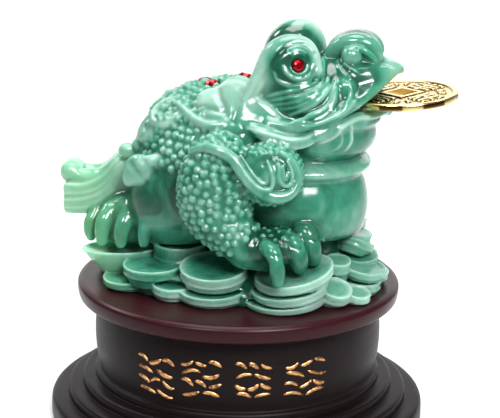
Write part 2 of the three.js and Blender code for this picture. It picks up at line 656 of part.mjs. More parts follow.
// Where the coin lies in the mouth, in the figure's own frame
const COIN_SEAT = new THREE.Matrix4()
  .makeTranslation(58.7 * PART, 0, 71 * PART)
  .multiply(new THREE.Matrix4().makeRotationY(-radians(MOUTH_COIN_RISE_DEG)))
  .multiply(new THREE.Matrix4().makeRotationX(radians(MOUTH_COIN_LEAN_DEG)));

// Stones: seat point and outward direction, in shares of the figure's length
const GEMS = {
  eye_gem_near: [[22.4, -21.6, 84.6], [0.25, -0.95, 0.2], EYE_GEM_DIAMETER],
  eye_gem_far: [[22.4, 21.6, 84.6], [0.25, 0.95, 0.2], EYE_GEM_DIAMETER],
};

// Stones of the back: x, y and how far they stand off the trunk's curve
[
  [1.2, 2, 2.2], [-3.6, 9.5, 0.3], [-10.3, -4.6, 0.3], [-14.6, 5.4, 0.1], [-8.4, 14.6, 0.2],
  [-15.6, 12.6, 0.2], [-26.4, 4.4, -0.1],
].forEach(([x, y, off], i) => {
  const u = (x - TRUNK.at[0]) / TRUNK.radii[0];
  const v = y / TRUNK.radii[1];
  const w = Math.sqrt(1 - u * u - v * v);
  const out = [u / TRUNK.radii[0], v / TRUNK.radii[1], w / TRUNK.radii[2]];
  GEMS[`back_gem_${i + 1}`] = [[x, y, TRUNK.at[2] + TRUNK.radii[2] * w + off], out, BACK_GEM_DIAMETER];
});

// Coins strung over the upper back, half sunk in it
const BACK_COINS = [
  { at: [-25.2, -14, 64.6], out: [-0.35, -0.55, 0.8], radius: 7 },
  { at: [-32.2, -12.6, 58.4], out: [-0.65, -0.45, 0.6], radius: 6 },
  { at: [-25.2, 14, 64.6], out: [-0.35, 0.55, 0.8], radius: 7 },
  { at: [-32.2, 12.6, 58.4], out: [-0.65, 0.45, 0.6], radius: 6 },
];

// Placement that stands a piece's own Z along a direction at a point of the figure
function seat(point, out) {
  const up = new THREE.Vector3(...out).normalize();
  const turn = new THREE.Quaternion().setFromUnitVectors(new THREE.Vector3(0, 0, 1), up);
  return new THREE.Matrix4().compose(
    new THREE.Vector3(...point).multiplyScalar(PART), turn, new THREE.Vector3(1, 1, 1),
  );
}

// A cut stone: girdle, sloped crown, flat table, flat back
const GEM_SIDES = 6;
const GEM_DEPTH = 0.55;
function gemGeometry(diameter) {
  const r = diameter / 2;
  const back = -diameter * GEM_DEPTH * 0.5;
  return turned([[0, back], [r * 0.92, back], [r, 0], [r * 0.62, diameter * 0.24], [0, diameter * 0.24]], GEM_SIDES);
}

function gemSocket(diameter) {
  const r = diameter / 2 + GEM_CLEARANCE;
  const back = -diameter * GEM_DEPTH * 0.5 - GEM_CLEARANCE;
  return turned([[0, back], [r, back], [r, diameter], [0, diameter]], GEM_SIDES * 2);
}

// Gilt coin with a raised rim and a raised border round its square hole
const COIN_SIDES = 32;
function coinSolid(grow) {
  const r = MOUTH_COIN_DIAMETER / 2 + grow;
  const h = MOUTH_COIN_THICKNESS / 2 + grow;
  if (grow) return solid(turned([[0, -h], [r, -h], [r, h], [0, h]], COIN_SIDES));
  const rim = r - 2.2;
  const sunk = h - 0.35;
  const faces = solid(turned([
    [0, -sunk], [rim, -sunk], [rim + 0.3, -h], [r, -h], [r, h], [rim + 0.3, h], [rim, sunk], [0, sunk],
  ], COIN_SIDES));
  const side = MOUTH_COIN_HOLE;
  const turn = radians(MOUTH_COIN_TURN_DEG);
  const border = solid(new THREE.BoxGeometry(side + 3, side + 3, h * 2).rotateZ(turn));
  const hole = solid(new THREE.BoxGeometry(side, side, h * 4).rotateZ(turn));
  return faces.add(border).subtract(hole);
}

// The figure: skin of the forms, the coins of its bed, sockets for the stones and the coin
const FIGURE_GRID = 1.55;
const BODY_FACETS = 9000;
const FIGURE_FACETS = 6050;
const TRIM = 1.5;

function figureSolid() {
  const fine = skin(FIGURE_GRID, [-72, -56, -16], [64, 56, 100]);
  for (let i = 0; i < fine.positions.length; i++) fine.positions[i] *= PART;
  let figure = solid(thinned(fine, BODY_FACETS));
  const rows = [
    ...BED_FRONT, ...BED_SIDE,
    ...bedCourse(38, 168, 6, 40, 33, 7, 11), ...bedCourse(60, 150, 4, 30, 26, 14, 10.5),
  ];
  const turn = new THREE.Matrix4().makeRotationZ(radians(-TOAD_TURN_DEG));
  let bed = solid(ingot().scale(BED_PART, BED_PART, BED_PART).applyMatrix4(turn));
  rows.forEach((row, i) => {
    const coin = bedCoin(row, i < BED_FRONT.length ? 18 : 12);
    const placed = geometryOf(coin).scale(BED_PART, BED_PART, BED_PART).applyMatrix4(turn);
    bed = bed.add(solid(placed));
  });
  figure = figure.add(bed);
  BACK_COINS.forEach(({ at, out, radius }) => {
    const disc = turned([[0, -3], [radius * 0.9, -3], [radius, 0], [0, 0.3]], 14);
    figure = figure.add(solid(disc.scale(PART, PART, PART).applyMatrix4(seat(at, out))));
  });
  const room = TOAD_LENGTH * 2;
  const above = new THREE.BoxGeometry(room, room, room).translate(0, 0, room / 2);
  const whole = figure.intersect(solid(above.clone().translate(0, 0, -TRIM))).getMesh();
  figure = solid(thinned({
    positions: Float64Array.from(whole.vertProperties), faces: Int32Array.from(whole.triVerts),
  }, FIGURE_FACETS)).intersect(solid(above));
  for (const gem of Object.values(GEMS)) {
    figure = figure.subtract(solid(gemSocket(gem[2]).applyMatrix4(seat(gem[0], gem[1]))));
  }
  const slot = geometryOf(coinSolid(REST_GAP)).applyMatrix4(COIN_SEAT);
  return figure.subtract(solid(slot));
}

// Scene graph
function mesh(name, geometry, colour, roughness, metalness) {
  const shape = new THREE.Mesh(geometry, new THREE.MeshStandardMaterial({ color: colour, roughness, metalness }));
  shape.name = name;
  return shape;
}

const object = new THREE.Group();
object.add(mesh('base', geometryOf(standSolid()), '#2c2726', 0.45, 0));
object.add(mesh('turntable', geometryOf(discSolid()), '#3a2426', 0.4, 0));

const figure = new THREE.Group();
figure.position.z = FIGURE_Z;
figure.rotation.z = radians(TOAD_TURN_DEG);
figure.add(mesh('toad', geometryOf(figureSolid()), '#4f9a7c', 0.25, 0));

const coin = mesh('mouth_coin', geometryOf(coinSolid(0)), '#d9bd72', 0.25, 1);
coin.applyMatrix4(COIN_SEAT);
figure.add(coin);

for (const [name, gem] of Object.entries(GEMS)) {
  const stone = mesh(name, geometryOf(solid(gemGeometry(gem[2]))), '#b3121c', 0.1, 0);
  stone.applyMatrix4(seat(gem[0], gem[1]));
  figure.add(stone);
}
object.add(figure);

export default object;
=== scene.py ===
"""Money toad in green resin on a bed of coins, with a gilt coin in its mouth, on a turned stand.

The figure is modelled as clay: rounded forms are blended in a grid of distances, and the skin of
the grid becomes the mesh. Sizes are millimetres and turn to metres where a mesh is made.
"""
import math

import bpy
import numpy as np
from mathutils import Matrix, Vector


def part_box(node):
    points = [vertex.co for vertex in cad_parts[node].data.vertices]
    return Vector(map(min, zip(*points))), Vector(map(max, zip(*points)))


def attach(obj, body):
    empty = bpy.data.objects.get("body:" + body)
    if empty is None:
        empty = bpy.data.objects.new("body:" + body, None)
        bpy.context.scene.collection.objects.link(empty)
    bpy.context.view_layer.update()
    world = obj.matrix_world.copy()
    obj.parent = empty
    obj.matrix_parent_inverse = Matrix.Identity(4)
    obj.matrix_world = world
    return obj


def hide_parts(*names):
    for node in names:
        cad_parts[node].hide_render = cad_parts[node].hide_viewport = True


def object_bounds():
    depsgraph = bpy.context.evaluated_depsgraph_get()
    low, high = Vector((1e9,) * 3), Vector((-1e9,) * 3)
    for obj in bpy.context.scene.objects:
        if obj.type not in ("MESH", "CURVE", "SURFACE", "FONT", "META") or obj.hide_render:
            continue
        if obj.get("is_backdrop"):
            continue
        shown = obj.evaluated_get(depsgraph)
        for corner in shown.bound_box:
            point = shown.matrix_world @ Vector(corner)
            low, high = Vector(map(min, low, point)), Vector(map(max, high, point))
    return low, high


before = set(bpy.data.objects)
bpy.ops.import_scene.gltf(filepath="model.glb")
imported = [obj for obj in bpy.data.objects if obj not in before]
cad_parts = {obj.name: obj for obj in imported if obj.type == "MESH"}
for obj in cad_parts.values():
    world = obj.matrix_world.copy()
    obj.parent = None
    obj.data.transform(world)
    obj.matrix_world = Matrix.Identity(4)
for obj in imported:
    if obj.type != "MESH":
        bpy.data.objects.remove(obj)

bl_info = {
    "name": "Money Toad",
    "version": (1, 0, 0),
    "blender": (4, 5, 0),
    "location": "View3D > Sidebar > Toad",
    "description": "Builds a resin money toad on its turning stand over the packed frame",
    "category": "Object",
}

CAD_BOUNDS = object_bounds()
MM = 0.001

# Places of the frame, in millimetres
DRUM_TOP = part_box("base")[1][2] / MM
DISC_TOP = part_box("turntable")[1][2] / MM
FIGURE_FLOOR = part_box("toad")[0][2] / MM
FOOT_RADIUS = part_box("base")[1][1] / MM
DISC_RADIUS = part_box("turntable")[1][1] / MM

# The figure stands turned by this much about the disc's axis
TOAD_TURN = math.radians(-6)
DISC_THICKNESS = 6.5
REST_GAP = 0.3
BOSS_RADIUS = 12.0
BOSS_LENGTH = 7.0

# Radii of the drum: its foot bead, its widest part and its upper edge
DRUM_BEAD = 54.0
DRUM_BELLY = 53.95
DRUM_EDGE = 52.5


# Clay: a grid of distances in millimetres, which are not reckoned beyond this
FAR = 6.0
CLAY_BOX = [-72, -56, -2], [64, 56, 99]
# How far past its blend a form still changes the grid
MARGIN = 2.5
TINY = 1e-9
LEVEL = (0, 0, 0)


class Form:
    """A rounded mass: the box round it and the distance to it at points of space."""

    def __init__(self, low, high, distance):
        self.low = np.array(low, float)
        self.high = np.array(high, float)
        self.distance = distance


def rotation(tip):
    """Matrix that tips a form by angles in degrees about its own Y, X and then Z axes."""
    a, b, c = (math.radians(v) for v in tip)
    turn = Matrix.Rotation(c, 3, "Z") @ Matrix.Rotation(a, 3, "Y") @ Matrix.Rotation(b, 3, "X")
    return np.array(turn)


def local(x, y, z, centre, turn):
    """Points in a form's own axes."""
    dx, dy, dz = x - centre[0], y - centre[1], z - centre[2]
    return [turn[0, i] * dx + turn[1, i] * dy + turn[2, i] * dz for i in range(3)]


def egg(centre, radii, tip=LEVEL):
    """An egg with three radii, tipped, that works only within its own box."""
    turn = rotation(tip)
    return egg_at(centre, radii, turn, np.sqrt((turn ** 2) @ (np.array(radii, float) ** 2)))


def egg_at(centre, radii, turn, reach=None):
    """An egg with three radii along given axes, in a cube round it where no reach is given."""
    if reach is None:
        reach = max(radii)

    def distance(x, y, z):
        u, v, w = (p / r for p, r in zip(local(x, y, z, centre, turn), radii))
        near = np.sqrt(u * u + v * v + w * w)
        steep = np.sqrt((u / radii[0]) ** 2 + (v / radii[1]) ** 2 + (w / radii[2]) ** 2) + TINY
        return near * (near - 1) / steep

    return Form(np.array(centre) - reach, np.array(centre) + reach, distance)


def strand(points):
    """A rounded strand through points [x, y, z, radius]."""
    p = np.array(points, float)

    def distance(x, y, z):
        best = None
        for a, b in zip(p[:-1], p[1:]):
            d = b[:3] - a[:3]
            u, v, w = x - a[0], y - a[1], z - a[2]
            t = np.clip((u * d[0] + v * d[1] + w * d[2]) / max(d @ d, TINY), 0, 1)
            gap = np.sqrt((u - d[0] * t) ** 2 + (v - d[1] * t) ** 2 + (w - d[2] * t) ** 2)
            gap = gap - (a[3] + (b[3] - a[3]) * t)
            best = gap if best is None else np.minimum(best, gap)
        return best

    reach = p[:, 3:4]
    return Form((p[:, :3] - reach).min(0), (p[:, :3] + reach).max(0), distance)


def flowing(points, steps=5):
    """Points on a smooth curve through the given ones, whatever they hold."""
    p = np.array(points, float)
    p = np.vstack([2 * p[0] - p[1], p, 2 * p[-1] - p[-2]])
    out = []
    for i in range(1, len(p) - 2):
        for t in np.arange(steps) / steps:
            out.append(0.5 * (2 * p[i] + (p[i + 1] - p[i - 1]) * t
                              + (2 * p[i - 1] - 5 * p[i] + 4 * p[i + 1] - p[i + 2]) * t * t
                              + (3 * p[i] - p[i - 1] - 3 * p[i + 1] + p[i + 2]) * t ** 3))
    out.append(p[-2])
    return np.array(out)


def block(centre, half, rounding):
    """A block with rounded edges."""

    def distance(x, y, z):
        u = np.abs(x - centre[0]) - half[0] + rounding
        v = np.abs(y - centre[1]) - half[1] + rounding
        w = np.abs(z - centre[2]) - half[2] + rounding
        out = np.sqrt(np.maximum(u, 0) ** 2 + np.maximum(v, 0) ** 2 + np.maximum(w, 0) ** 2)
        return out + np.minimum(np.maximum(np.maximum(u, v), w), 0) - rounding

    return Form(np.array(centre) - half, np.array(centre) + half, distance)


def dish(centre, low_radius, high_radius, depth, turn, squash=1.0):
    """A coin or bowl with a sloped wall: a cone cut flat, its top face at the centre."""
    half = depth / 2
    rounding = 0.35

    def distance(x, y, z):
        u, v, w = local(x, y, z, centre, turn)
        r = np.sqrt(u * u + (v / squash) ** 2)
        w = w + half
        r1, r2, h = low_radius - rounding, high_radius - rounding, half - rounding
        ax = r - np.minimum(r, np.where(w < 0, r1, r2))
        ay = np.abs(w) - h
        kx, ky = r2 - r1, 2 * h
        t = np.clip(((r2 - r) * kx + (h - w) * ky) / (kx * kx + ky * ky), 0, 1)
        bx, by = r - r2 + kx * t, w - h + ky * t
        inside = np.where((bx < 0) & (ay < 0), -1.0, 1.0)
        return inside * np.sqrt(np.minimum(ax * ax + ay * ay, bx * bx + by * by)) - rounding

    reach = max(high_radius, low_radius) + depth
    return Form(np.array(centre) - reach, np.array(centre) + reach, distance)


def hoop(centre, radius, thickness, turn, drop):
    """A ring of round wire about a form's own Z axis, dropped below its centre."""

    def distance(x, y, z):
        u, v, w = local(x, y, z, centre, turn)
        return np.sqrt((np.sqrt(u * u + v * v) - radius) ** 2 + (w + drop) ** 2) - thickness

    reach = radius + thickness + drop
    return Form(np.array(centre) - reach, np.array(centre) + reach, distance)


class Clay:
    """A block of space in which forms are blended; the figure's own frame, millimetres."""

    def __init__(self, low, high, step):
        self.low = np.array(low, float)
        self.step = step
        self.count = np.ceil((np.array(high) - self.low) / step).astype(int) + 1
        self.field = np.full(self.count, FAR, np.float32)
        self.tone = np.zeros(self.count, np.float32)

    def patch(self, form, margin):
        """The part of the grid near a form, and the coordinates of its points."""
        first = np.clip(np.floor((form.low - margin - self.low) / self.step).astype(int), 0, self.count)
        last = np.clip(np.ceil((form.high + margin - self.low) / self.step).astype(int) + 1, 0, self.count)
        where = tuple(slice(a, b) for a, b in zip(first, last))
        x, y, z = ((low + self.step * np.arange(a, b)).astype(np.float32)
                   for low, a, b in zip(self.low, first, last))
        x, y, z = x[:, None, None], y[None, :, None], z[None, None, :]
        return where, x, y, z

    def join(self, form, blend=1.0, tone=0.0):
        """Adds a form, melted into what is there, and its tone."""
        where, x, y, z = self.patch(form, blend + MARGIN)
        old = self.field[where]
        new = np.minimum(form.distance(x, y, z), FAR).astype(np.float32)
        overlap = np.maximum(blend - np.abs(old - new), 0) / blend
        share = np.clip(0.5 + 0.5 * (old - new) / blend, 0, 1)
        self.field[where] = np.minimum(old, new) - overlap * overlap * blend / 4
        self.tone[where] += (tone - self.tone[where]) * share

    def carve(self, form, blend=0.6):
        """Takes a form away, its edges softened."""
        where, x, y, z = self.patch(form, blend + MARGIN)
        old = self.field[where]
        new = -form.distance(x, y, z).astype(np.float32)
        overlap = np.maximum(blend - np.abs(old - new), 0) / blend
        self.field[where] = np.maximum(old, new) + overlap * overlap * blend / 4

    def tint(self, form, tone, fade=1.5):
        """Changes the tone inside a form, with no change of shape."""
        where, x, y, z = self.patch(form, fade)
        share = np.clip(0.5 - form.distance(x, y, z) / fade, 0, 1)
        self.tone[where] += (tone - self.tone[where]) * share

    def sample(self, grid, points):
        """Values of a grid at any points, smoothly between its own."""
        q = (np.asarray(points, float) - self.low) / self.step
        q = np.clip(q, 0, np.array(grid.shape) - 1.001)
        i = q.astype(int)
        f = (q - i).astype(np.float32)
        total = 0
        for corner in range(8):
            pick = [(corner >> a) & 1 for a in range(3)]
            weight = np.prod([f[:, a] if pick[a] else 1 - f[:, a] for a in range(3)], axis=0)
            total = total + weight * grid[i[:, 0] + pick[0], i[:, 1] + pick[1], i[:, 2] + pick[2]]
        return total

    def slope(self, points):
        """Outward direction at points."""
        out = np.zeros((len(points), 3))
        for a in range(3):
            step = np.zeros(3)
            step[a] = self.step
            out[:, a] = self.sample(self.field, points + step) - self.sample(self.field, points - step)
        return out / (np.linalg.norm(out, axis=1, keepdims=True) + TINY)

    def settle(self, points):
        """Points moved onto the skin, in three rounds."""
        p = np.array(points, float)
        for _ in range(3):
            p = p - self.slope(p) * self.sample(self.field, p)[:, None]
        return p

    def skin(self):
        """Vertices and quads of the surface where the distance is nought."""
        inside = self.field < 0
        n = np.array(self.field.shape)
        total = np.zeros(tuple(n - 1) + (3,), np.float32)
        hits = np.zeros(tuple(n - 1), np.int16)
        quads = []
        flips = []
        strides = np.array([(n[1] - 1) * (n[2] - 1), n[2] - 1, 1])
        for axis in range(3):
            here = tuple(slice(0, -1) if a == axis else slice(None) for a in range(3))
            there = tuple(slice(1, None) if a == axis else slice(None) for a in range(3))
            cross = inside[here] != inside[there]
            at = np.argwhere(cross)
            other = at.copy()
            other[:, axis] += 1
            d0 = self.field[tuple(at.T)]
            d1 = self.field[tuple(other.T)]
            point = at.astype(np.float32)
            point[:, axis] += d0 / (d0 - d1)
            u, v = [(1, 2), (2, 0), (0, 1)][axis]
            ring = []
            keep = (at[:, u] > 0) & (at[:, v] > 0) & (at[:, u] < n[u] - 1) & (at[:, v] < n[v] - 1)
            at, point, d0 = at[keep], point[keep], d0[keep]
            for du, dv in ((-1, -1), (0, -1), (0, 0), (-1, 0)):
                cell = at.copy()
                cell[:, u] += du
                cell[:, v] += dv
                flat = tuple(cell.T)
                np.add.at(total, flat, point)
                np.add.at(hits, flat, 1)
                ring.append(cell @ strides)
            quads.append(np.stack(ring, 1))
            flips.append(d0 > 0)
        quads = np.concatenate(quads)
        flips = np.concatenate(flips)
        quads[flips] = quads[flips][:, ::-1]
        used, index = np.unique(quads, return_inverse=True)
        vertices = total.reshape(-1, 3)[used] / hits.reshape(-1)[used][:, None]
        vertices = self.low + vertices * self.step
        for _ in range(2):
            vertices = vertices - self.slope(vertices) * np.clip(
                self.sample(self.field, vertices), -0.5 * self.step, 0.5 * self.step)[:, None]
        return vertices, index.reshape(-1, 4)


def blurred(grid, reach):
    """Mean of a grid over a cube of cells, taken axis by axis."""
    out = grid.astype(np.float32)
    for axis in range(3):
        pad = [(reach + 1, reach) if a == axis else (0, 0) for a in range(3)]
        total = np.cumsum(np.pad(out, pad, mode="edge"), axis=axis, dtype=np.float64)
        high = tuple(slice(2 * reach + 1, None) if a == axis else slice(None) for a in range(3))
        low = tuple(slice(0, -2 * reach - 1) if a == axis else slice(None) for a in range(3))
        out = ((total[high] - total[low]) / (2 * reach + 1)).astype(np.float32)
    return out


# Figure
SIDES = (1, -1)


def mirrored(points):
    """The same points on the far side."""
    p = np.array(points, float).copy()
    p[..., 1] *= -1
    return p


def join_pair(clay, blend, tone, centre, radii, tip=LEVEL):
    """An egg on the near side and its twin on the far side."""
    clay.join(egg(centre, radii, tip), blend, tone)
    clay.join(egg(mirrored(centre), radii, (tip[0], -tip[1], -tip[2])), blend, tone)


def join_strands(clay, blend, tone, points, steps=5):
    """A smooth strand on the near side and its twin on the far side."""
    smooth = flowing(points, steps)
    clay.join(strand(smooth), blend, tone)
    clay.join(strand(mirrored(smooth)), blend, tone)


# Tones of the resin: 0 is the deepest green and 1 the milkiest
# The darkest tone, painted as shade where the belly meets the coins and over the paw
SHADE = 0.0
DEEP = 0.12
DIM = 0.2
DUSKY = 0.26
QUIET = 0.3
PLAIN = 0.34
SNOUT = 0.4
WART = 0.42
NOSE = 0.46
SOFT = 0.5
ROLL = 0.54
FAIR = 0.6
CLEAR = 0.66
PALE = 0.78
RIDGE = 0.84
EDGE = 0.9
HOOD = 0.95

# Masses that others lie on: centre, radii and tip
TRUNK = ([-6, 0, 43], [34.5, 29, 31], LEVEL)
ELBOW = ([-5, -30.5, 41.5], [13.2, 11.5, 19], [6, 0, 0])
SHOULDER = ([14, -30.5, 47.5], [11.5, 11.5, 11], LEVEL)
FOREARM = ([2, -34, 27], [11, 9.6, 10], LEVEL)
PAW = ([17.4, -33.4, 21.6], [10, 10.4, 6.8], LEVEL)

UPPER_LIP = [
    [57.4, 0, 80.6, 1.0], [53.2, -8, 78.4, 1.5], [48.3, -14, 74.8, 1.8], [42.2, -18, 70.6, 2],
    [35.8, -22, 67.4, 2.1], [29, -25, 65.2, 2.1], [21.1, -26.8, 63.6, 2], [13, -26, 64.4, 0.9],
]
SNOUT_TIP = [[42, 0, 83.4, 5], [48, 0, 82, 4.4], [53.4, 0, 81.2, 2.8], [58.2, 0, 80.2, 0.7]]
SNOUT_SIDE = [[40.6, -11.4, 79.4, 4.2], [46.4, -9.8, 79.8, 4], [51.4, -6, 80.2, 2.8]]
LOWER_LIP = [
    [54, 0, 65, 1.2], [48.6, -10, 65.6, 1.7], [41.6, -16, 64.6, 2.4], [35.2, -20.5, 62.3, 2.8],
    [29, -24, 60, 2.6],
]
MOUTH_CORNER = [
    [3, -24, 63.6, 0.9], [7.6, -26.6, 62.2, 2], [12, -27.8, 60.8, 2.7], [20, -27.6, 58.6, 3],
    [26, -25.4, 58.8, 2.6],
]
EYE_HOOD = [
    [1.6, -21.4, 66.4, 1.8], [4.6, -19.8, 71.6, 2.4], [7.4, -18.8, 77.2, 2.8], [10.2, -17.2, 83.4, 3],
    [13.6, -16, 88.4, 3], [18.6, -15, 91.2, 3], [24, -14.8, 90.6, 2.8], [27.2, -15.6, 87, 2.4],
    [28.8, -17, 82, 1.9],
]
NOSE_HOOD = [
    [32.6, -3.6, 85.6, 2.4], [35.2, -4.4, 88.6, 2.9], [39.2, -5, 90.4, 3.2], [43.6, -5.4, 90.6, 3.3],
    [47.2, -5.2, 89.2, 3.1], [49.2, -4.8, 86.8, 2.4], [49.2, -5.2, 84.4, 1.6],
]
NOSE_SCROLL = [
    [41.8, -9.4, 89.6, 1], [44.6, -10, 88.8, 1.2], [47.4, -9.4, 86.8, 1.2], [49, -7.8, 84.2, 1.1],
    [46.8, -9.6, 82.2, 1.3], [42.6, -11, 81.2, 1.4], [38.4, -11, 82.6, 1.4],
]
LOWER_ARM = [[-2, -33, 30, 10], [6.5, -36, 21, 7.4], [13, -34, 19.5, 7]]
ARM_RIDGE = [
    [-13.4, -34.8, 55.4, 1.2], [-8.6, -37.6, 57.6, 1.7], [-3.1, -39.6, 57, 2], [2, -40.8, 54.6, 2.1],
    [5.6, -41.4, 49.6, 2.1], [10.6, -41.4, 44.2, 2.3], [17, -41, 41.6, 2.3], [22.1, -39.4, 42.8, 2],
    [24.4, -37.4, 47.3, 1.7], [22.7, -36.8, 52.7, 1.5], [18.6, -37.2, 56.6, 1.2],
]
ARM_CURLS = [
    [[3.4, -41.4, 55.8, 0.5], [7, -43, 49.6, 0.6], [11.4, -43.2, 45.4, 0.7], [15.4, -42.4, 45, 0.7],
     [16, -41.6, 49, 0.6], [14, -40.6, 54.4, 0.5]],
    [[4.6, -41.2, 56.4, 0.4], [8.6, -42, 50.8, 0.5], [11.6, -42.4, 47.4, 0.6], [13.8, -42, 47, 0.5],
     [14, -41.2, 50, 0.4]],
    [[17.9, -40, 53.4, 0.5], [18.3, -40.8, 48.6, 0.7], [20.2, -40.6, 45.8, 0.7], [22.2, -39.8, 46.6, 0.7],
     [22.5, -39, 50.2, 0.6], [20.8, -38.6, 54, 0.5]],
    [[19.4, -39.8, 53, 0.4], [19.8, -40.4, 49.4, 0.5], [20.8, -40.2, 48, 0.5], [21.2, -39.4, 50.4, 0.4]],
    [[-11, -36.6, 57.4, 0.5], [-6, -39, 58.8, 0.6], [-1, -41, 57.4, 0.6], [3.4, -42.4, 53, 0.6],
     [7.2, -43.2, 46.6, 0.6], [12, -43.2, 42.6, 0.5]],
]
FRONT_TOES = [
    [[14.6, -43, 24, 2.8], [16.8, -45, 22.6, 3], [18.2, -46.4, 20, 2.6], [18.8, -47, 16.4, 2.8],
     [19, -47.2, 13, 2.2]],
    [[20.4, -36.6, 25.6, 3.2], [23, -38.2, 24.4, 3.5], [24.8, -39, 21.6, 3.3], [25.6, -39.2, 18.6, 3.4],
     [26, -39, 16, 2.5]],
    [[25.4, -30.6, 27.4, 3.2], [28, -32, 26, 3.5], [29.4, -32.8, 23, 3.2], [30, -33, 20, 3.2],
     [30.6, -32.6, 17, 2.4]],
    [[28.6, -28.6, 28, 1.8], [30.6, -29.8, 27.4, 1.6], [32, -31, 26, 1.2], [33.9, -32, 24.2, 0.5]],
]
PAW_CREASES = [
    [[12, -44.4, 26], [13.4, -45.4, 22.4], [14.2, -45.6, 18.4], [14.6, -45.4, 15]],
    [[16, -42.6, 28], [19.4, -43.6, 25.4], [21.4, -43.4, 21.6], [22.2, -42.6, 17.6]],
    [[21, -38, 30.4], [24.8, -38.2, 27.4], [27, -37.4, 23.4], [27.8, -36.4, 19]],
    [[15.4, -46.4, 23.4], [17, -47.6, 22.6], [18.6, -48, 22.4], [20, -47.4, 22.8]],
    [[21.6, -40.2, 24.6], [23.8, -41.2, 23.8], [26, -41.4, 23.6], [27.4, -40.4, 24.4]],
    [[26.8, -34.4, 26.4], [29, -35, 25.2], [31, -34.8, 25], [32, -33.6, 25.6]],
]
HIND_TOES = [
    [[-52.6, -8, 24.4, 2.6], [-54.2, -10, 20.8, 2.8], [-54.6, -11, 17.6, 2.4], [-54.2, -11.4, 15.4, 1.8]],
    [[-46.6, -13.4, 26.4, 3.1], [-48, -15.8, 23.4, 3.2], [-48.8, -17.4, 19.6, 2.8],
     [-48.8, -18, 15.8, 2.1]],
    [[-39, -15.4, 26.4, 3.1], [-40.4, -18, 23.2, 3.2], [-41.4, -19.6, 19.6, 2.8], [-41.4, -20.2, 16, 2.1]],
    [[-30.4, -19, 26.8, 2.8], [-31.6, -21, 23.8, 2.9], [-32.4, -22.2, 20.4, 2.5],
     [-32.4, -22.8, 17.4, 1.9]],
]


def body(clay):
    """Trunk, belly with its roll, throat, neck and head."""
    clay.join(egg(*TRUNK), 0.01, PLAIN)
    # Haunches on both sides of the trunk
    join_pair(clay, 5, DEEP, [-22, -15.5, 31], [16.5, 11, 18])
    # Belly, cut level over the coins, with shade where it meets them
    clay.join(egg([22.4, 0, 30], [25.4, 28, 26]), 5, PLAIN)
    clay.carve(block([34, 0, 10], [26, 40, 10.6], 1), 1)
    clay.tint(egg([24, 0, 14], [32, 34, 12]), SHADE, 3)
    clay.join(egg([20, 0, 14], [19, 22, 14]), 1, DEEP)
    # Darker lower flank: partly the resin's deeper green, partly painted shade
    clay.tint(egg([-22, -20, 26], [22, 14, 18]), DUSKY, 8)
    # Roll over the belly, throat, neck and the core of the head
    clay.join(egg([24.4, 0, 45.6], [24, 26.5, 5.6]), 2.2, ROLL)
    clay.join(egg([27.4, 0, 57], [22.6, 24, 13]), 1.5, QUIET)
    clay.join(egg([1, 0, 62.5], [17, 20, 11]), 5, PLAIN)
    clay.join(egg([24, 0, 71], [22, 24.5, 12.5]), 4, DEEP)


# The muzzle's core from front to back: x and z, then its share of the lip's width and its radius
CORE_FRONT, CORE_BACK = (35, 80.5), (21, 72.5)
CORE_WIDTH = 0.4
CORE_RADIUS = 6
# How far back and up the muzzle starts from the lip, and how much thicker than the lip it is
LIP_STEP, LIP_SWELL = 0.8, 0.2


def muzzle(clay):
    """Muzzle fanned from its core to the upper lip, the open mouth, both lips and the jaw's fold."""
    clay.join(egg([36, 0, 78], [15, 14, 8], [-12, 0, 0]), 5, DEEP)
    rim = flowing(UPPER_LIP[:6], 4)
    for (x, y, z, radius), share in zip(rim, np.linspace(0, 1, len(rim))):
        core_x, core_z = (a + (b - a) * share for a, b in zip(CORE_FRONT, CORE_BACK))
        lip = [x - LIP_STEP, y, z + LIP_STEP, radius + LIP_SWELL]
        join_strands(clay, 1.2, DEEP, [lip, [core_x, y * CORE_WIDTH, core_z, CORE_RADIUS]], 1)
    join_strands(clay, 2.5, DEEP, SNOUT_SIDE, 1)
    join_pair(clay, 2, PLAIN, [39, -15.8, 75.4], [3.4, 3.2, 4.4])
    # Opening of the mouth, and the lower jaw under it
    clay.carve(egg([56, 0, 75], [20, 15.5, 4.6], [-10, 0, 0]), 1)
    clay.join(egg([30, 0, 62.4], [21.5, 22.5, 4]), 2, PLAIN)
    join_strands(clay, 1.2, SOFT, UPPER_LIP)
    clay.join(strand(SNOUT_TIP), 1.5, SNOUT)
    clay.tint(egg([59, 0, 82], [9, 14, 7]), 0.62, 7)
    join_strands(clay, 1.5, SOFT, LOWER_LIP)
    # Neck behind the mouth's corner, and the fold over it
    join_pair(clay, 3, PLAIN, [10, -20, 62.4], [15, 6.4, 7])
    join_pair(clay, 3, PLAIN, [1, -21, 58], [10, 8, 6.4])
    join_strands(clay, 1.5, SOFT, MOUTH_CORNER)


# The far eye stands this much further back, and its hood rises by so much above its root
FAR_EYE_BACK = 0.4
FAR_HOOD_RISE = 0.9
HOOD_ROOT, HOOD_REACH = 76, 10


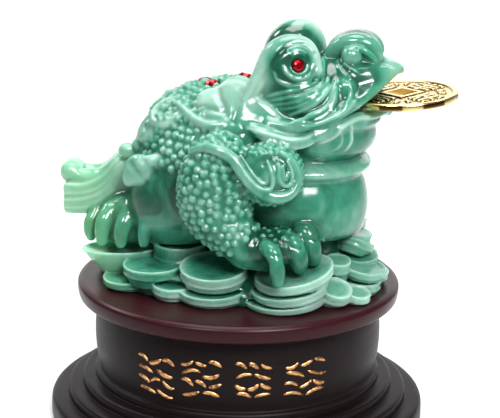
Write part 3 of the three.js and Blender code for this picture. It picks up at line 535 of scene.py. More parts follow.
def head(clay):
    """Eye mounds under their hoods, and the nose."""
    for side in SIDES:
        place = np.array([1, side, 1])
        back, rise = (FAR_EYE_BACK, FAR_HOOD_RISE) if side < 0 else (0, 0)
        clay.join(egg(place * [18 - back, -13.8, 81], [11.4, 8.8, 13], (8, 0, 0)), 2.5, DEEP)
        hood = flowing(EYE_HOOD)
        hood[:, :3] = hood[:, :3] * place - [back, 0, 0]
        hood[:, 2] += rise * np.clip((hood[:, 2] - HOOD_ROOT) / HOOD_REACH, 0, 1)
        clay.join(strand(hood), 1.6, HOOD)
        clay.tint(egg(place * [6.4, -18, 79], [5.4, 9, 12.5]), 0.85, 4)
    # Nose: its mass, its hood, and the nostril with a scroll round it
    clay.join(egg([41.6, 0, 86], [9.2, 8.6, 8.4]), 2, DEEP)
    join_strands(clay, 1.4, NOSE, NOSE_HOOD)
    join_pair(clay, 0.8, SOFT, [40.4, -9, 86.4], [3.8, 3.6, 3.8])
    join_strands(clay, 0.6, PLAIN, NOSE_SCROLL)
    join_pair(clay, 1, PLAIN, [45.8, -6, 84.8], [3.6, 3.2, 4])


def front_legs(clay):
    """Elbow masses, shoulders with their ridges and curls, forearms, paws and toes."""
    join_pair(clay, 2.5, PLAIN, *ELBOW)
    join_pair(clay, 1.5, PLAIN, *SHOULDER)
    join_strands(clay, 3, PLAIN, LOWER_ARM, 1)
    join_pair(clay, 3, DEEP, *PAW)
    join_strands(clay, 1.2, SOFT, ARM_RIDGE)
    # Darkest tone over the top of the paw: painted shade
    clay.tint(egg([15, -38, 24.6], [11, 9, 6.6]), SHADE, 4)
    for curl in ARM_CURLS:
        join_strands(clay, 0.6, FAIR, curl)
    for toe in FRONT_TOES:
        join_strands(clay, 1.2, QUIET, toe, 6)
    for crease in PAW_CREASES:
        groove(clay, crease, 0.45, 0.6)


def hind_leg(clay):
    """The single hind leg's foot and its four toes, turned to the near side."""
    clay.join(egg([-39, -4, 24.6], [12.8, 14.4, 8.8]), 3, DIM)
    clay.join(egg([-41, -4, 18.4], [12.4, 13.4, 7]), 3, DIM)
    clay.join(egg([-31, -10, 22], [6, 9, 8]), 3, DEEP)
    for toe in HIND_TOES:
        clay.join(strand(flowing(toe, 6)), 0.8, 0.32)


# Thin folds laid on the skin. Each row: radius, tone, then points [x, y, z]
HEAD_FOLDS = [
    (0.85, PLAIN, [[10.3, -19.3, 72.2], [16.2, -22.3, 74.7], [23.2, -22.4, 76.3], [28.6, -19.5, 78.3],
     [30.4, -18, 82]]),
    (0.8, PLAIN, [[11.8, -20.5, 71.3], [17.7, -23.2, 73], [24.4, -23.6, 74.4], [29.8, -20.3, 77.2],
     [31.6, -15.6, 80.6]]),
    (0.8, PLAIN, [[13.4, -21.4, 70.1], [20.7, -24.2, 71.9], [27.2, -23.4, 74.2], [32.1, -18.5, 77.8],
     [32.9, -15.6, 79.8]]),
    (0.8, PLAIN, [[15.6, -22.2, 68.8], [22.1, -24.4, 70.4], [27.7, -23.9, 72.7], [31.6, -21, 75.6],
     [33.2, -18, 77.6]]),
    (1.0, SOFT, [[20, -22.9, 67.3], [24.6, -24.3, 69.4], [28.4, -24, 71.6], [32, -21.3, 75.2],
     [34.4, -18, 77.6]]),
    (1.2, SOFT, [[20.5, -28, 65.2], [25.9, -26.4, 67], [30.7, -25, 69.3], [33.9, -22, 71.8],
     [34.8, -18.5, 76.5]]),
    (1.0, SOFT, [[25.1, -28.2, 64.2], [31.2, -26.6, 65.7], [36.3, -24.4, 67.7], [40, -22, 69.9],
     [42.6, -19.6, 72.4]]),
    (0.5, PALE, [[18.1, -20.2, 89.8], [19.5, -19.7, 90.5], [22, -18.6, 91.1], [25, -18, 90.2]]),
    (0.5, PALE, [[19.1, -20.9, 88.5], [20.3, -20.3, 89.4], [22.4, -19.4, 89.8], [24.8, -18.8, 88.7]]),
    (0.5, PLAIN, [[19.9, -21.3, 87.6], [21.4, -20.6, 88.6], [23.4, -19.8, 88.5], [24.9, -19.6, 87.4]]),
    (0.6, PLAIN, [[19.9, -20.8, 83.9], [20.8, -20.8, 82.3], [23, -21, 81.7], [25.4, -20.6, 83.1],
     [26, -19.9, 85]]),
    (0.8, PLAIN, [[17, -22.3, 84.4], [18.6, -22.5, 81.8], [21.7, -22.1, 79.9], [25.8, -20.3, 80.6],
     [27.7, -18.8, 84.5]]),
    (0.8, PLAIN, [[13.9, -21.9, 82.1], [15.6, -22.3, 79], [20.4, -22.4, 77.4], [25.9, -20.6, 78.7],
     [29, -18.8, 82.8]]),
    (0.9, PLAIN, [[29.6, -5, 85.6], [30.3, -9.5, 83.6], [30.6, -14.1, 81.6], [30.6, -17, 79]]),
    (1.0, PLAIN, [[35.4, -16.1, 78.9], [35.3, -18.8, 75.8], [35, -21.4, 72.4], [34.4, -23.6, 69.9]]),
    (0.9, PLAIN, [[40.2, -17.6, 78.4], [40.9, -18.9, 75], [40.2, -20.6, 72], [38.3, -22.7, 69.8]]),
    (0.7, DEEP, [[35.2, -8.3, 84.6], [36.4, -12.4, 82.2], [38.9, -15.3, 80], [41.6, -16.6, 79.2]]),
    (0.7, DEEP, [[37.4, -11.2, 86], [38, -11.7, 83.6], [40.2, -12.9, 81.6], [43, -13.6, 81]]),
    (1.0, PALE, [[4.7, -29.1, 63.1], [12.4, -31.3, 61.9], [20.1, -30.7, 60], [25.6, -29, 60],
     [28.4, -27, 61.4]]),
    (0.9, SOFT, [[6.6, -30.1, 62], [12.4, -31.4, 59.9], [19.1, -31.2, 58.4], [25, -29, 58.5],
     [28.4, -26.6, 59.6]]),
    (1.0, PALE, [[8.8, -30.2, 60], [14.6, -31.6, 57.8], [20.9, -30.9, 56.6], [25.6, -28.6, 57],
     [28.8, -26.6, 58.4]]),
    (0.6, PALE, [[41.1, -19.5, 64.4], [41.8, -18.8, 61], [41.6, -18.5, 57.6], [39.8, -19.4, 54.2]]),
    (0.5, SOFT, [[37.8, -22, 61.6], [38.6, -20.9, 59], [37.6, -21.3, 56.2], [35.6, -21.8, 54.6]]),
    (0.8, PALE, [[31, -24.4, 57.4], [35.7, -22.6, 59.8], [38.7, -21.5, 63.2], [43.8, -17.1, 65.5],
     [50.6, -9.6, 65], [54.6, -2, 65.6]]),
]
HOOD_GROOVE = [
    [4.6, -21.6, 70], [7.9, -21.5, 76.4], [10.9, -21, 82], [14.4, -20.8, 87.2], [19.1, -19.2, 91],
    [24.6, -17.5, 91.3], [27.6, -17.7, 88.2],
]


# Share of its radius that a laid strand keeps at its ends
THIN_END = 0.45


def laid(clay, points, radius):
    """Thin strands along the skin, thinner at their ends, one on each side."""
    for side in SIDES:
        line = clay.settle(flowing(np.array(points) * [1, side, 1], 6))
        size = THIN_END + (1 - THIN_END) * np.sin(math.pi * np.linspace(0, 1, len(line))) ** 0.6
        yield strand(np.column_stack([line, radius * size]))


def drape(clay, points, radius, tone, blend=0.5):
    """Lays a thin strand along the skin on both sides."""
    for form in laid(clay, points, radius):
        clay.join(form, blend, tone)


def groove(clay, points, radius, blend):
    """Cuts a groove along the skin on both sides."""
    for form in laid(clay, points, radius):
        clay.carve(form, blend)


def folds(clay):
    """Lids, cheek wrinkles, folds at the mouth's corner and the groove inside each hood."""
    groove(clay, HOOD_GROOVE, 0.5, 1.2)
    for radius, tone, points in HEAD_FOLDS:
        drape(clay, points, radius, tone)


TAIL_BANDS = [
    [[-62.4, -5.6, 31.8, 2.5], [-57.6, -5.8, 32, 2.6], [-50.4, -6.4, 35.4, 2.8], [-44.4, -7.2, 42.6, 2.8]],
    [[-62.6, -5.8, 26.6, 2.3], [-56.7, -6.2, 27.4, 2.5], [-49.5, -7, 31, 2.8], [-43.6, -7.8, 39, 2.8]],
]
TAIL_RIDGES = [
    [[-64.4, -7.6, 33.8, 0.6], [-57.6, -8, 34, 0.8], [-50.4, -8.6, 37.6, 0.8], [-44.2, -9.4, 45, 0.6]],
    [[-64.4, -8, 30.8, 0.5], [-57, -8.4, 31.4, 0.6], [-50, -9.2, 35, 0.6], [-44, -9.9, 42.8, 0.5]],
    [[-64.8, -7.8, 28, 0.6], [-56.7, -8.4, 29.2, 0.8], [-49.5, -9.2, 33, 0.8], [-43.6, -10, 41, 0.6]],
    [[-64.8, -7.8, 25, 0.5], [-57, -8.4, 26, 0.6], [-50.6, -9.2, 29.6, 0.6], [-46, -9.8, 33.4, 0.5]],
]
TAIL_SCROLL = [[-59.6, -8, 39.6, 0.6], [-62.6, -8, 41, 0.8], [-65, -8, 38.6, 0.8], [-63.6, -8, 36, 0.6]]
TAIL_SADDLE = [
    [-61, -3.4, 36.4, 3.2], [-58.4, -3.8, 36, 3.3], [-54, -4, 35.6, 3.8], [-50, -4, 36.6, 4.2],
    [-46, -4, 39.2, 4.4], [-42, -4.4, 43, 4.4],
]


def tail(clay):
    """Block, saddle up to the body, rolled end with its groove, bands, ridges and two beads."""
    clay.join(block([-54.4, 0, 28.2], [10.8, 7.6, 5.6], 1), 2, CLEAR)
    clay.join(strand([[-56, 0, 30, 6], [-48, 0, 32, 8], [-41, 0, 36, 9.5]]), 2, CLEAR)
    join_strands(clay, 2, CLEAR, TAIL_SADDLE)
    for band in TAIL_BANDS:
        join_strands(clay, 2.4, CLEAR, band)
    clay.join(strand([[-63.2, -2.6, 37.6, 4.2], [-63.2, 2.6, 37.6, 4.2]]), 0.6, CLEAR)
    clay.carve(strand(TAIL_SCROLL), 0.6)
    for ridge in TAIL_RIDGES:
        join_strands(clay, 0.5, RIDGE, ridge)
    clay.join(egg([-40.9, -9.6, 48.4], [3.2, 3, 2.9]), 1.8, CLEAR)
    clay.join(egg([-36.2, -11, 51.2], [2.6, 2.2, 2.4]), 0.6, CLEAR)


def lobe(clay, centre, radii, outward, along, tone, blend, drop=0.0):
    """A leaf lobe on the near side and its twin, which may be dropped: long, wide and thick radii."""
    for side in SIDES:
        n = np.array(outward, float) * [1, side, 1]
        n /= np.linalg.norm(n)
        a = np.array(along, float) * [1, side, 1]
        a -= n * (a @ n)
        a /= np.linalg.norm(a)
        turn = np.stack([a, np.cross(n, a), n], 1)
        place = np.array(centre) * [1, side, 1] - [0, 0, drop if side < 0 else 0]
        clay.join(egg_at(place, radii, turn), blend, tone)


# Leaf on the flank. Each row: centre, its three radii, the way it faces, its long way, tone, blend
FLANK_LOBES = [
    ([-35, -20.4, 44], [6.2, 5.6, 2.8], [-0.4, -0.9, 0.2], [0.8, 0, 0.5], 0.56, 0.8),
    ([-31.4, -22.2, 47], [5.6, 2.6, 2], [-0.2, -0.95, 0.2], [0.9, 0, 0.45], 0.7, 1.4),
    ([-37.6, -20.6, 41.4], [4, 3, 2], [-0.4, -0.9, 0], [0.5, 0, 0.9], 0.66, 1.2),
]
LOW_CREASE = [[-38, -21, 47], [-35, -23, 44.6], [-33, -23.4, 42.4], [-31.4, -22.6, 40.4]]
HIGH_CREASE = [[-33.6, -22, 49.4], [-30.6, -24, 46.6], [-28, -24, 44.6]]

# Strung coins over the back: centre, the way they face, radius
BACK_COINS = [
    ([-25.2, -14, 64.6], [-0.35, -0.55, 0.8], 7),
    ([-32.2, -12.6, 58.4], [-0.65, -0.45, 0.6], 6),
]
RIBBON = [
    [-23.4, -13.4, 68.4, 0.8], [-20.1, -15.8, 67, 1.2], [-16.6, -19, 64.9, 1.6], [-13.4, -21.5, 63.2, 1.8],
    [-9.5, -23.5, 62.3, 1.9], [-5.1, -24.5, 62.7, 1.5], [-2, -24, 64, 0.9],
]

# Leaf beside the neck. Each row: centre, its three radii, the way it faces, its long way, tone
LEAF_LOBES = [
    ([-0.6, -15, 73], [7.2, 6.2, 3], [-0.1, -0.7, 0.7], [0.6, 0, 1], 0.8),
    ([-9, -15.8, 70], [5.6, 4.6, 2.4], [-0.1, -0.7, 0.7], [1, 0, 0.2], 0.86),
    ([3.4, -19, 69.2], [8, 6, 2.4], [0, -0.8, 0.6], [1, 0, -0.3], 0.52),
    ([9.4, -21.8, 66.8], [7, 4, 1.8], [0.1, -0.88, 0.45], [1, 0, -0.35], 0.6),
    ([-4, -21.2, 65.8], [7, 4.8, 2.2], [-0.1, -0.8, 0.6], [1, 0, -0.3], 0.56),
]
FAR_LEAF_DROP = 6.0
LEAF_CREASES = [
    [[-6.4, -15.4, 73.6], [-5, -18.6, 70.6], [-3, -21.4, 67.4], [-1.6, -23.4, 64.6]],
    [[4.6, -17, 74.2], [3.2, -20, 70.6], [1, -22.4, 67], [0.6, -24, 63.6]],
    [[-12, -19.6, 67.6], [-8, -21, 67.4], [-4.6, -22, 66.6]],
]
LEAF_EDGES = [
    [[-12.4, -16, 71.4], [-9, -15.4, 73.2], [-6, -15.6, 74.4], [-2.4, -15.2, 76.4], [1.6, -15.6, 76.2],
     [5, -17.4, 73.4]],
    [[5, -18.6, 72.6], [9.4, -21, 70.6], [13.4, -22.6, 67.6], [15.6, -23.4, 65]],
]


def leaf(clay):
    """The leaf beside the neck and its lower twin: overlapping lobes, creases and a thin edge."""
    for centre, radii, outward, along, tone in LEAF_LOBES:
        lobe(clay, centre, radii, outward, along, tone, 2.4, FAR_LEAF_DROP)
    for crease in LEAF_CREASES:
        groove(clay, crease, 0.36, 2.2)
    for edge in LEAF_EDGES:
        drape(clay, edge, 0.36, EDGE, 1.6)


def ornaments(clay):
    """Leaf lobes on the flank, and the ribbon, strung coins and leaf over the back."""
    for centre, radii, outward, along, tone, blend in FLANK_LOBES:
        lobe(clay, centre, radii, outward, along, tone, blend)
    groove(clay, LOW_CREASE, 0.4, 1.8)
    groove(clay, HIGH_CREASE, 0.4, 1.6)
    for centre, outward, radius in BACK_COINS:
        for side in SIDES:
            point = np.array(centre) * [1, side, 1]
            turn = np.array(seat_matrix(point, np.array(outward) * [1, side, 1]).to_3x3())
            # Disc, rim, ring round the hole, and the hole
            clay.join(dish(point, radius * 0.9, radius, 3, turn), 1.4, CLEAR)
            clay.join(hoop(point, radius - 1.4, 1.3, turn, 0.5), 1.4, 0.7)
            clay.join(hoop(point, radius * 0.4, 0.8, turn, 0.1), 1.4, 0.62)
            clay.carve(egg_at(point, [radius * 0.2, radius * 0.2, 0.8], turn), 0.8)
    leaf(clay)
    join_strands(clay, 1, FAIR, RIBBON)


# Bed of coins, in the disc's own frame. Each row: x, y, height of the top, radius, tilt,
# heading of the tilt, depth
BED_COINS = [
    [-8.8, -31, 12.8, 12.4, 9, -100, 8], [-9.2, -31.2, 5, 12.8, 4, -100, 6],
    [18.8, -34.6, 10.8, 13.3, 13, -150, 11], [19.9, -34.6, 12.8, 14.4, 14, -150, 6],
    [18.4, -35.2, 7.4, 14, 9, -150, 6], [16.6, -34.4, 3, 14.6, 4, -140, 4],
    [-31, -21, 10.3, 11.3, 2.5, -120, 7], [-21.4, -12.5, 16.6, 10.5, 4, -110, 12],
    [-23.2, -29, 5.4, 8, 4, -110, 6],
    [-40, -16.6, 4.4, 10, 6, -130, 5], [-22, -16, 7, 12, 4, -110, 7],
    [35.2, -35, 6.7, 6.2, 22, -60, 8], [43.2, -31.6, 4.2, 5, 16, -50, 5],
    [46.2, -20, 10.4, 8.1, 10, -40, 5], [44.6, -20, 5.6, 8, 6, -40, 6],
    [36, -25, 14, 5, 12, -70, 8], [43.6, -8, 16.8, 7.4, 26, 40, 6],
    [49, -7, 5.4, 7.4, 8, -20, 6], [44, -10, 12.2, 8, 12, -60, 7],
    [43.4, 6, 9, 9.5, 8, 0, 8], [42.6, 14, 19.6, 6.6, 14, 20, 6], [43.8, 12, 14.4, 7.4, 10, 10, 8],
    [41, 24, 8, 9, 8, 30, 8], [39.4, 14, 24.6, 6, 12, 30, 8],
    [-44, 6, 8, 11, 8, 180, 8],
]
# Courses of coins on the far side. Each row: first and last bearing, number, how far out they lie
# along X and Y, height of the top, radius
BED_COURSES = [(38, 168, 6, 40, 33, 7, 11), (60, 150, 4, 30, 26, 14, 10.5)]
# Their shift along X, their tilt, and the steps by which their height and radius vary
COURSE_SHIFT, COURSE_TILT, COURSE_STEP, COURSE_SWELL = 2, 8, 1.6, 0.7
# Tones of the walls: coins nearer than this line are the palest, and those behind it are deeper
# on the left, where the deeper tone is painted shade under the arm
BED_FRONT = -28
FRONT_WALL, SHADED_LEFT_WALL = 0.92, 0.42
# A coin's foot and its lower rim as shares of its radius, the depth of its sunk face, and the
# height of the lower rim as a share of its depth
COIN_FOOT, LOW_RIM, FACE_DEPTH, LOW_RIM_DROP = 0.84, 0.95, 0.8, 0.45
# Boat-shaped ingot: middle of its top, heading, radii of its foot and its brim, depth and width share
INGOT_PLACE = (-44.4, -9.5, 12.6)
INGOT_HEADING = 4
INGOT_FOOT, INGOT_BRIM, INGOT_DEPTH, INGOT_SQUASH = 5.5, 13.8, 10.5, 0.62
INGOT_HOLLOW = [12.6, 7.6, 2]


def bed_course(first, last, number, reach, width, top, radius):
    """Coins at even angles round the far side of the bed, a little uneven in height and size."""
    rows = []
    for i in range(number):
        a = first + (last - first) * i / (number - 1)
        x = math.cos(math.radians(a)) * reach - COURSE_SHIFT
        y = math.sin(math.radians(a)) * width
        height, size = top + (i % 2) * COURSE_STEP, radius + (i % 3) * COURSE_SWELL
        rows.append([x, y, height, size, COURSE_TILT, a, top])
    return rows


def bed_turn(heading, tilt):
    """Axes of a coin of the bed, in the figure's frame."""
    spin = Matrix.Rotation(math.radians(heading) - TOAD_TURN, 3, "Z")
    return np.array(spin @ Matrix.Rotation(math.radians(tilt), 3, "Y"))


def bed_place(x, y, z):
    """A point of the disc's frame in the figure's frame."""
    c, s = math.cos(-TOAD_TURN), math.sin(-TOAD_TURN)
    return [x * c - y * s, x * s + y * c, z]


def bed(clay):
    """Mound, coins with rims and sunk faces, and the boat-shaped ingot."""
    clay.join(egg([-1, -2, 1], [47, 37, 13]), 3, DEEP)
    rows = BED_COINS + [row for course in BED_COURSES for row in bed_course(*course)]
    for x, y, top, radius, tilt, heading, depth in rows:
        turn = bed_turn(heading, tilt)
        centre = bed_place(x, y, top)
        wall = FRONT_WALL if y < BED_FRONT else SHADED_LEFT_WALL if x < 0 else FAIR
        # Sunk faces on the left are deeper: painted shade under the arm
        face = QUIET if x < 0 else SOFT
        clay.join(dish(centre, radius * COIN_FOOT, radius - 0.1, depth, turn), 0.5, wall)
        # Sunk face, then the rim, a ring on the face and the lower rim
        clay.carve(egg_at(centre, [radius - 0.8, radius - 0.8, FACE_DEPTH], turn), 0.4)
        clay.tint(egg_at(centre, [radius - 1.4, radius - 1.4, 1.4], turn), face, 1.2)
        clay.join(hoop(centre, radius - 0.5, 0.4, turn, 0.3), 0.3, 0.7)
        clay.join(hoop(centre, radius * 0.58, 0.3, turn, 0.85), 0.6, face)
        clay.join(hoop(centre, radius * LOW_RIM, 0.4, turn, depth * LOW_RIM_DROP), 0.8, wall)
    turn = bed_turn(INGOT_HEADING, 0)
    centre = bed_place(*INGOT_PLACE)
    clay.join(dish(centre, INGOT_FOOT, INGOT_BRIM, INGOT_DEPTH, turn, INGOT_SQUASH), 0.5, FAIR)
    clay.carve(egg_at(centre, INGOT_HOLLOW, turn), 0.5)


# Warts. Each row: mass that they cover, spacing, radius, lowest and highest corner of the part that
# has them, how far z is at least above x there, and whether the ridge on the arm interrupts them
ANY = 199
WART_REGIONS = [
    (ELBOW, 2.6, 1.42, [-ANY, -ANY, 22], [ANY, -27, ANY], -ANY, True),
    (SHOULDER, 2.1, 1.05, [4, -ANY, -ANY], [ANY, -27, ANY], -ANY, True),
    (TRUNK, 2.6, 1.32, [-33, -ANY, 46], [-2, 3, ANY], -ANY, False),
    (FOREARM, 2.6, 1.3, [-8, -ANY, -ANY], [ANY, -33, 34], 19, True),
    (PAW, 2.8, 0.85, [-ANY, -ANY, 24], [26, -34, ANY], -ANY, False),
]
WART_TRIES = 30000
WART_SIZES = (0.82, 1.08)
# Least gap to the ridge, most shift onto the skin, and share of the spacing kept between regions
RIDGE_GAP = 2.7
MOST_SHIFT = 3
REGION_GAP = 0.8


def scattered(random, mass, spacing, *limits):
    """Points strewn over the kept part of a mass, none nearer to another than the spacing."""
    centre, radii, tip = mass
    unit = random.normal(size=(WART_TRIES, 3))
    unit /= np.linalg.norm(unit, axis=1, keepdims=True)
    points = (unit * radii) @ rotation(tip).T + centre
    kept = np.empty((0, 3))
    for point in points[wart_kept(points, *limits)]:
        if len(kept) == 0 or ((kept - point) ** 2).sum(1).min() > spacing * spacing:
            kept = np.vstack([kept, point])
    return kept


def within(points, outline):
    """Whether points, seen from the side, lie inside an outline of [x, y, z] corners."""
    x, z = points[:, 0], points[:, 2]
    inside = np.zeros(len(points), bool)
    for a, b in zip(outline, outline[1:] + outline[:1]):
        crosses = (a[2] > z) != (b[2] > z)
        at = a[0] + (b[0] - a[0]) * (z - a[2]) / (b[2] - a[2] + TINY)
        inside ^= crosses & (x < at)
    return inside


def wart_kept(points, low, high, slant, ridged):
    """Which points carry a wart."""
    kept = ((points > low) & (points < high)).all(1) & (points[:, 2] > points[:, 0] + slant)
    if not ridged:
        return kept
    ridge = flowing(ARM_RIDGE, 3)
    gap = np.linalg.norm(points[:, None, :] - ridge[None, :, :3], axis=2).min(1)
    return kept & (gap > RIDGE_GAP) & ~within(points, [p[:3] for p in ARM_RIDGE[3:]])


def warts(clay):
    """Round beads over elbows, shoulders, forearms, paws and back."""
    random = np.random.default_rng(7)
    placed = np.empty((0, 3))
    for mass, spacing, radius, *limits in WART_REGIONS:
        sites = scattered(random, mass, spacing, *limits)
        sizes = radius * random.uniform(*WART_SIZES, len(sites))
        points = clay.settle(sites)
        good = np.linalg.norm(points - sites, axis=1) < MOST_SHIFT
        if len(placed):
            apart = np.linalg.norm(points[:, None, :] - placed[None, :, :], axis=2).min(1)
            good &= apart > spacing * REGION_GAP
        placed = np.vstack([placed, points[good]])
        for side in SIDES:
            for p, size in zip(clay.settle(sites[good] * [1, side, 1]), sizes[good]):
                clay.join(egg(p, [size, size, size]), 0.5, WART)


# Seats of the stones and of the coin, in the figure's frame
COIN_SEAT = (58.7, 0.0, 71.0)
COIN_RISE = 3.5
COIN_LEAN = 1.5
COIN_TURN = 45
COIN_RADIUS = 20.5
COIN_HALF = 1.25
EYE_SEAT = ((22.4, -21.6, 84.6), (0.25, -0.95, 0.2))
EYE_GEM = 4.4
BACK_GEM = 5.2
GEM_ROOM = 0.15
# How far a stone's socket stands over its seat, its depth and how much wider it is at the top
SOCKET_RISE, SOCKET_DEPTH, SOCKET_FLARE = 1.2, 3.0, 0.2

# Stones of the back: x, y and how far they stand off the trunk's curve
BACK_SEATS = [
    [1.2, 2, 2.2], [-3.6, 9.5, 0.3], [-10.3, -4.6, 0.3], [-14.6, 5.4, 0.1], [-8.4, 14.6, 0.2],
    [-15.6, 12.6, 0.2], [-26.4, 4.4, -0.1],
]


def back_seats():
    """Seats of the stones along the back."""
    (cx, _, cz), (rx, ry, rz), _ = TRUNK
    seats = []
    for x, y, lift in BACK_SEATS:
        u, v = (x - cx) / rx, y / ry
        w = math.sqrt(1 - u * u - v * v)
        seats.append(((x, y, cz + rz * w + lift), (u / rx, v / ry, w / rz)))
    return seats


def gem_seats():
    """Node, seat, outward direction and diameter of each stone, the eyes first."""
    near, out = EYE_SEAT
    eyes = [("eye_gem_near", near, out, EYE_GEM), ("eye_gem_far", mirrored(near), mirrored(out), EYE_GEM)]
    return eyes + [(f"back_gem_{i + 1}", p, o, BACK_GEM) for i, (p, o) in enumerate(back_seats())]


def seat_matrix(point, out):
    """Placement that stands a piece's own Z along a direction, in the figure's frame."""
    turn = Vector((0, 0, 1)).rotation_difference(Vector(out).normalized())
    return Matrix.Translation(point) @ turn.to_matrix().to_4x4()


def coin_matrix():
    """Placement of the coin in the mouth."""
    return (Matrix.Translation(COIN_SEAT) @ Matrix.Rotation(-math.radians(COIN_RISE), 4, "Y")
            @ Matrix.Rotation(math.radians(COIN_LEAN), 4, "X"))


def sockets(clay):
    """Room for the stones and for the coin."""
    for _, point, direction, diameter in gem_seats():
        turn = np.array(seat_matrix(point, direction).to_3x3())
        radius = diameter / 2 + GEM_ROOM
        top = np.array(point) + turn[:, 2] * SOCKET_RISE
        clay.carve(dish(top, radius, radius + SOCKET_FLARE, SOCKET_DEPTH, turn), 0.3)
    turn = np.array(coin_matrix().to_3x3())
    half, radius = COIN_HALF + REST_GAP, COIN_RADIUS + REST_GAP
    clay.carve(dish(np.array(COIN_SEAT) + turn[:, 2] * half, radius, radius, 2 * half, turn), 0.2)


def toad_clay(step):
    """The whole figure in clay, cut flat where it stands."""
    clay = Clay(*CLAY_BOX, step)
    for part in (body, muzzle, head, folds, front_legs, hind_leg, tail, ornaments, bed, warts, sockets):
        part(clay)
    clay.carve(block([0, 0, -10], [100, 100, 10], 0.01), 0.2)
    return clay


# Meshes
TURNED_SIDES = 160


def world_matrix():
    """From the figure's frame in millimetres to the row frame in metres."""
    lift = Matrix.Translation((0, 0, FIGURE_FLOOR * MM))
    return lift @ Matrix.Rotation(TOAD_TURN, 4, "Z") @ Matrix.Scale(MM, 4)


def new_object(name, vertices, faces, matrix=None, smooth=True):
    """A mesh object from arrays of points and faces."""
    mesh = bpy.data.meshes.new(name)
    mesh.from_pydata([tuple(v) for v in vertices], [], [tuple(int(i) for i in f) for f in faces])
    if matrix is not None:
        mesh.transform(matrix)
    mesh.polygons.foreach_set("use_smooth", [smooth] * len(mesh.polygons))
    mesh.update()
    piece = bpy.data.objects.new(name, mesh)
    bpy.context.collection.objects.link(piece)
    return piece


def thin_mesh(piece, share):
    """Thins a mesh to a share of its triangles, for good."""
    piece.modifiers.new("Decimate", "DECIMATE").ratio = share
    graph = bpy.context.evaluated_depsgraph_get()
    mesh = bpy.data.meshes.new_from_object(piece.evaluated_get(graph))
    mesh.name = piece.name
    piece.modifiers.clear()
    piece.data = mesh


def add_values(mesh, name, values):
    """Stores one number per point for the material to read."""
    layer = mesh.attributes.new(name, "FLOAT", "POINT")
    layer.data.foreach_set("value", np.asarray(values, np.float32))


def circle(radius, height, sides, shift=0.0):
    """Points of a level ring, turned by a share of a side."""
    angles = [2 * math.pi * (i + shift) / sides for i in range(sides)]
    return [(radius * math.cos(a), radius * math.sin(a), height) for a in angles]


def bands(rings, sides, base=0, closed=False):
    """Quads between rings of points laid one after another; closed joins the last to the first."""
    faces = []
    for k in range(rings if closed else rings - 1):
        low, high = base + k * sides, base + (k + 1) % rings * sides
        for i in range(sides):
            j = (i + 1) % sides
            faces.append((low + j, low + i, high + i, high + j))
    return faces


def turned(name, profile):
    """A profile of [radius, height, rounding] spun about +Z, corners rounded."""
    vertices = []
    faces = []
    rings = []
    for r, z in rounded(profile):
        if r < TINY:
            rings.append([len(vertices)] * TURNED_SIDES)
            vertices.append((0, 0, z))
        else:
            rings.append(range(len(vertices), len(vertices) + TURNED_SIDES))
            vertices += circle(r, z, TURNED_SIDES)
    for low, high in zip(rings[:-1], rings[1:]):
        for i in range(TURNED_SIDES):
            j = (i + 1) % TURNED_SIDES
            corners = [low[i], low[j], high[j], high[i]]
            face = [c for k, c in enumerate(corners) if c not in corners[:k]]
            if len(face) > 2:
                faces.append(face)
    piece = new_object(name, vertices, faces, Matrix.Scale(MM, 4))
    piece.data.set_sharp_from_angle(angle=math.radians(40))
    return piece


def rounded(profile):
    """Points of a profile with each corner replaced by an arc of its rounding."""
    line = []
    for i, (r, z, size) in enumerate(profile):
        here = np.array([r, z], float)
        if size <= 0 or i in (0, len(profile) - 1):
            line.append(here)
            continue
        before = np.array(profile[i - 1][:2], float) - here
        after = np.array(profile[i + 1][:2], float) - here
        # An arc takes less than half of either side, so that two never meet
        reach = min(size, np.linalg.norm(before) * 0.48, np.linalg.norm(after) * 0.48)
        a = here + before / np.linalg.norm(before) * reach
        b = here + after / np.linalg.norm(after) * reach
        for t in np.linspace(0, 1, 6):
            line.append((1 - t) ** 2 * a + 2 * t * (1 - t) * here + t * t * b)
    return line


# Materials
def linear(hex_colour):
    """An sRGB hex colour as linear numbers with alpha."""
    text = hex_colour.lstrip("#")
    channels = [int(text[i:i + 2], 16) / 255 for i in (0, 2, 4)]
    return tuple(c / 12.92 if c <= 0.04045 else ((c + 0.055) / 1.055) ** 2.4 for c in channels) + (1.0,)


def shaded(colour, share):
    """A colour darkened or lightened by a share."""
    return tuple(min(1.0, c * share) for c in colour[:3]) + (1.0,)


def fill(tree, place, value):
    """Links a socket to another one, or gives it a plain value."""
    if isinstance(value, bpy.types.NodeSocket):
        tree.links.new(value, place)
    else:
        place.default_value = value


def add(tree, kind, inputs=None, **settings):
    """Adds a node with its settings, and fills its inputs."""
    node = tree.nodes.new(kind)
    for key, value in settings.items():
        setattr(node, key, value)
    for name, value in (inputs or {}).items():
        fill(tree, node.inputs[name], value)
    return node


def fresh_material(name):
    """An empty node material, its tree and the coordinates of the piece."""
    material = bpy.data.materials.new(name)
    material.use_nodes = True
    tree = material.node_tree
    tree.nodes.clear()
    return material, tree, add(tree, "ShaderNodeTexCoord").outputs["Object"]


def finished(material, tree, inputs):
    """Ends a material in one shader with these inputs."""
    shader = add(tree, "ShaderNodeBsdfPrincipled", inputs)
    add(tree, "ShaderNodeOutputMaterial", {"Surface": shader.outputs["BSDF"]})
    return material


def ramp(tree, source, *stops):
    """A colour ramp over a value, from (place, colour) stops."""
    node = add(tree, "ShaderNodeValToRGB", {"Fac": source})
    elements = node.color_ramp.elements
    while len(elements) < len(stops):
        elements.new(0.5)
    for element, (place, colour) in zip(elements, stops):
        element.position = place
        element.color = colour
    return node.outputs["Color"]


def scaled(tree, source, factor, offset=0.0):
    """A value times a factor, plus an offset or another value."""
    inputs = {0: source, 1: factor, 2: offset}
    return add(tree, "ShaderNodeMath", inputs, operation="MULTIPLY_ADD").outputs["Value"]


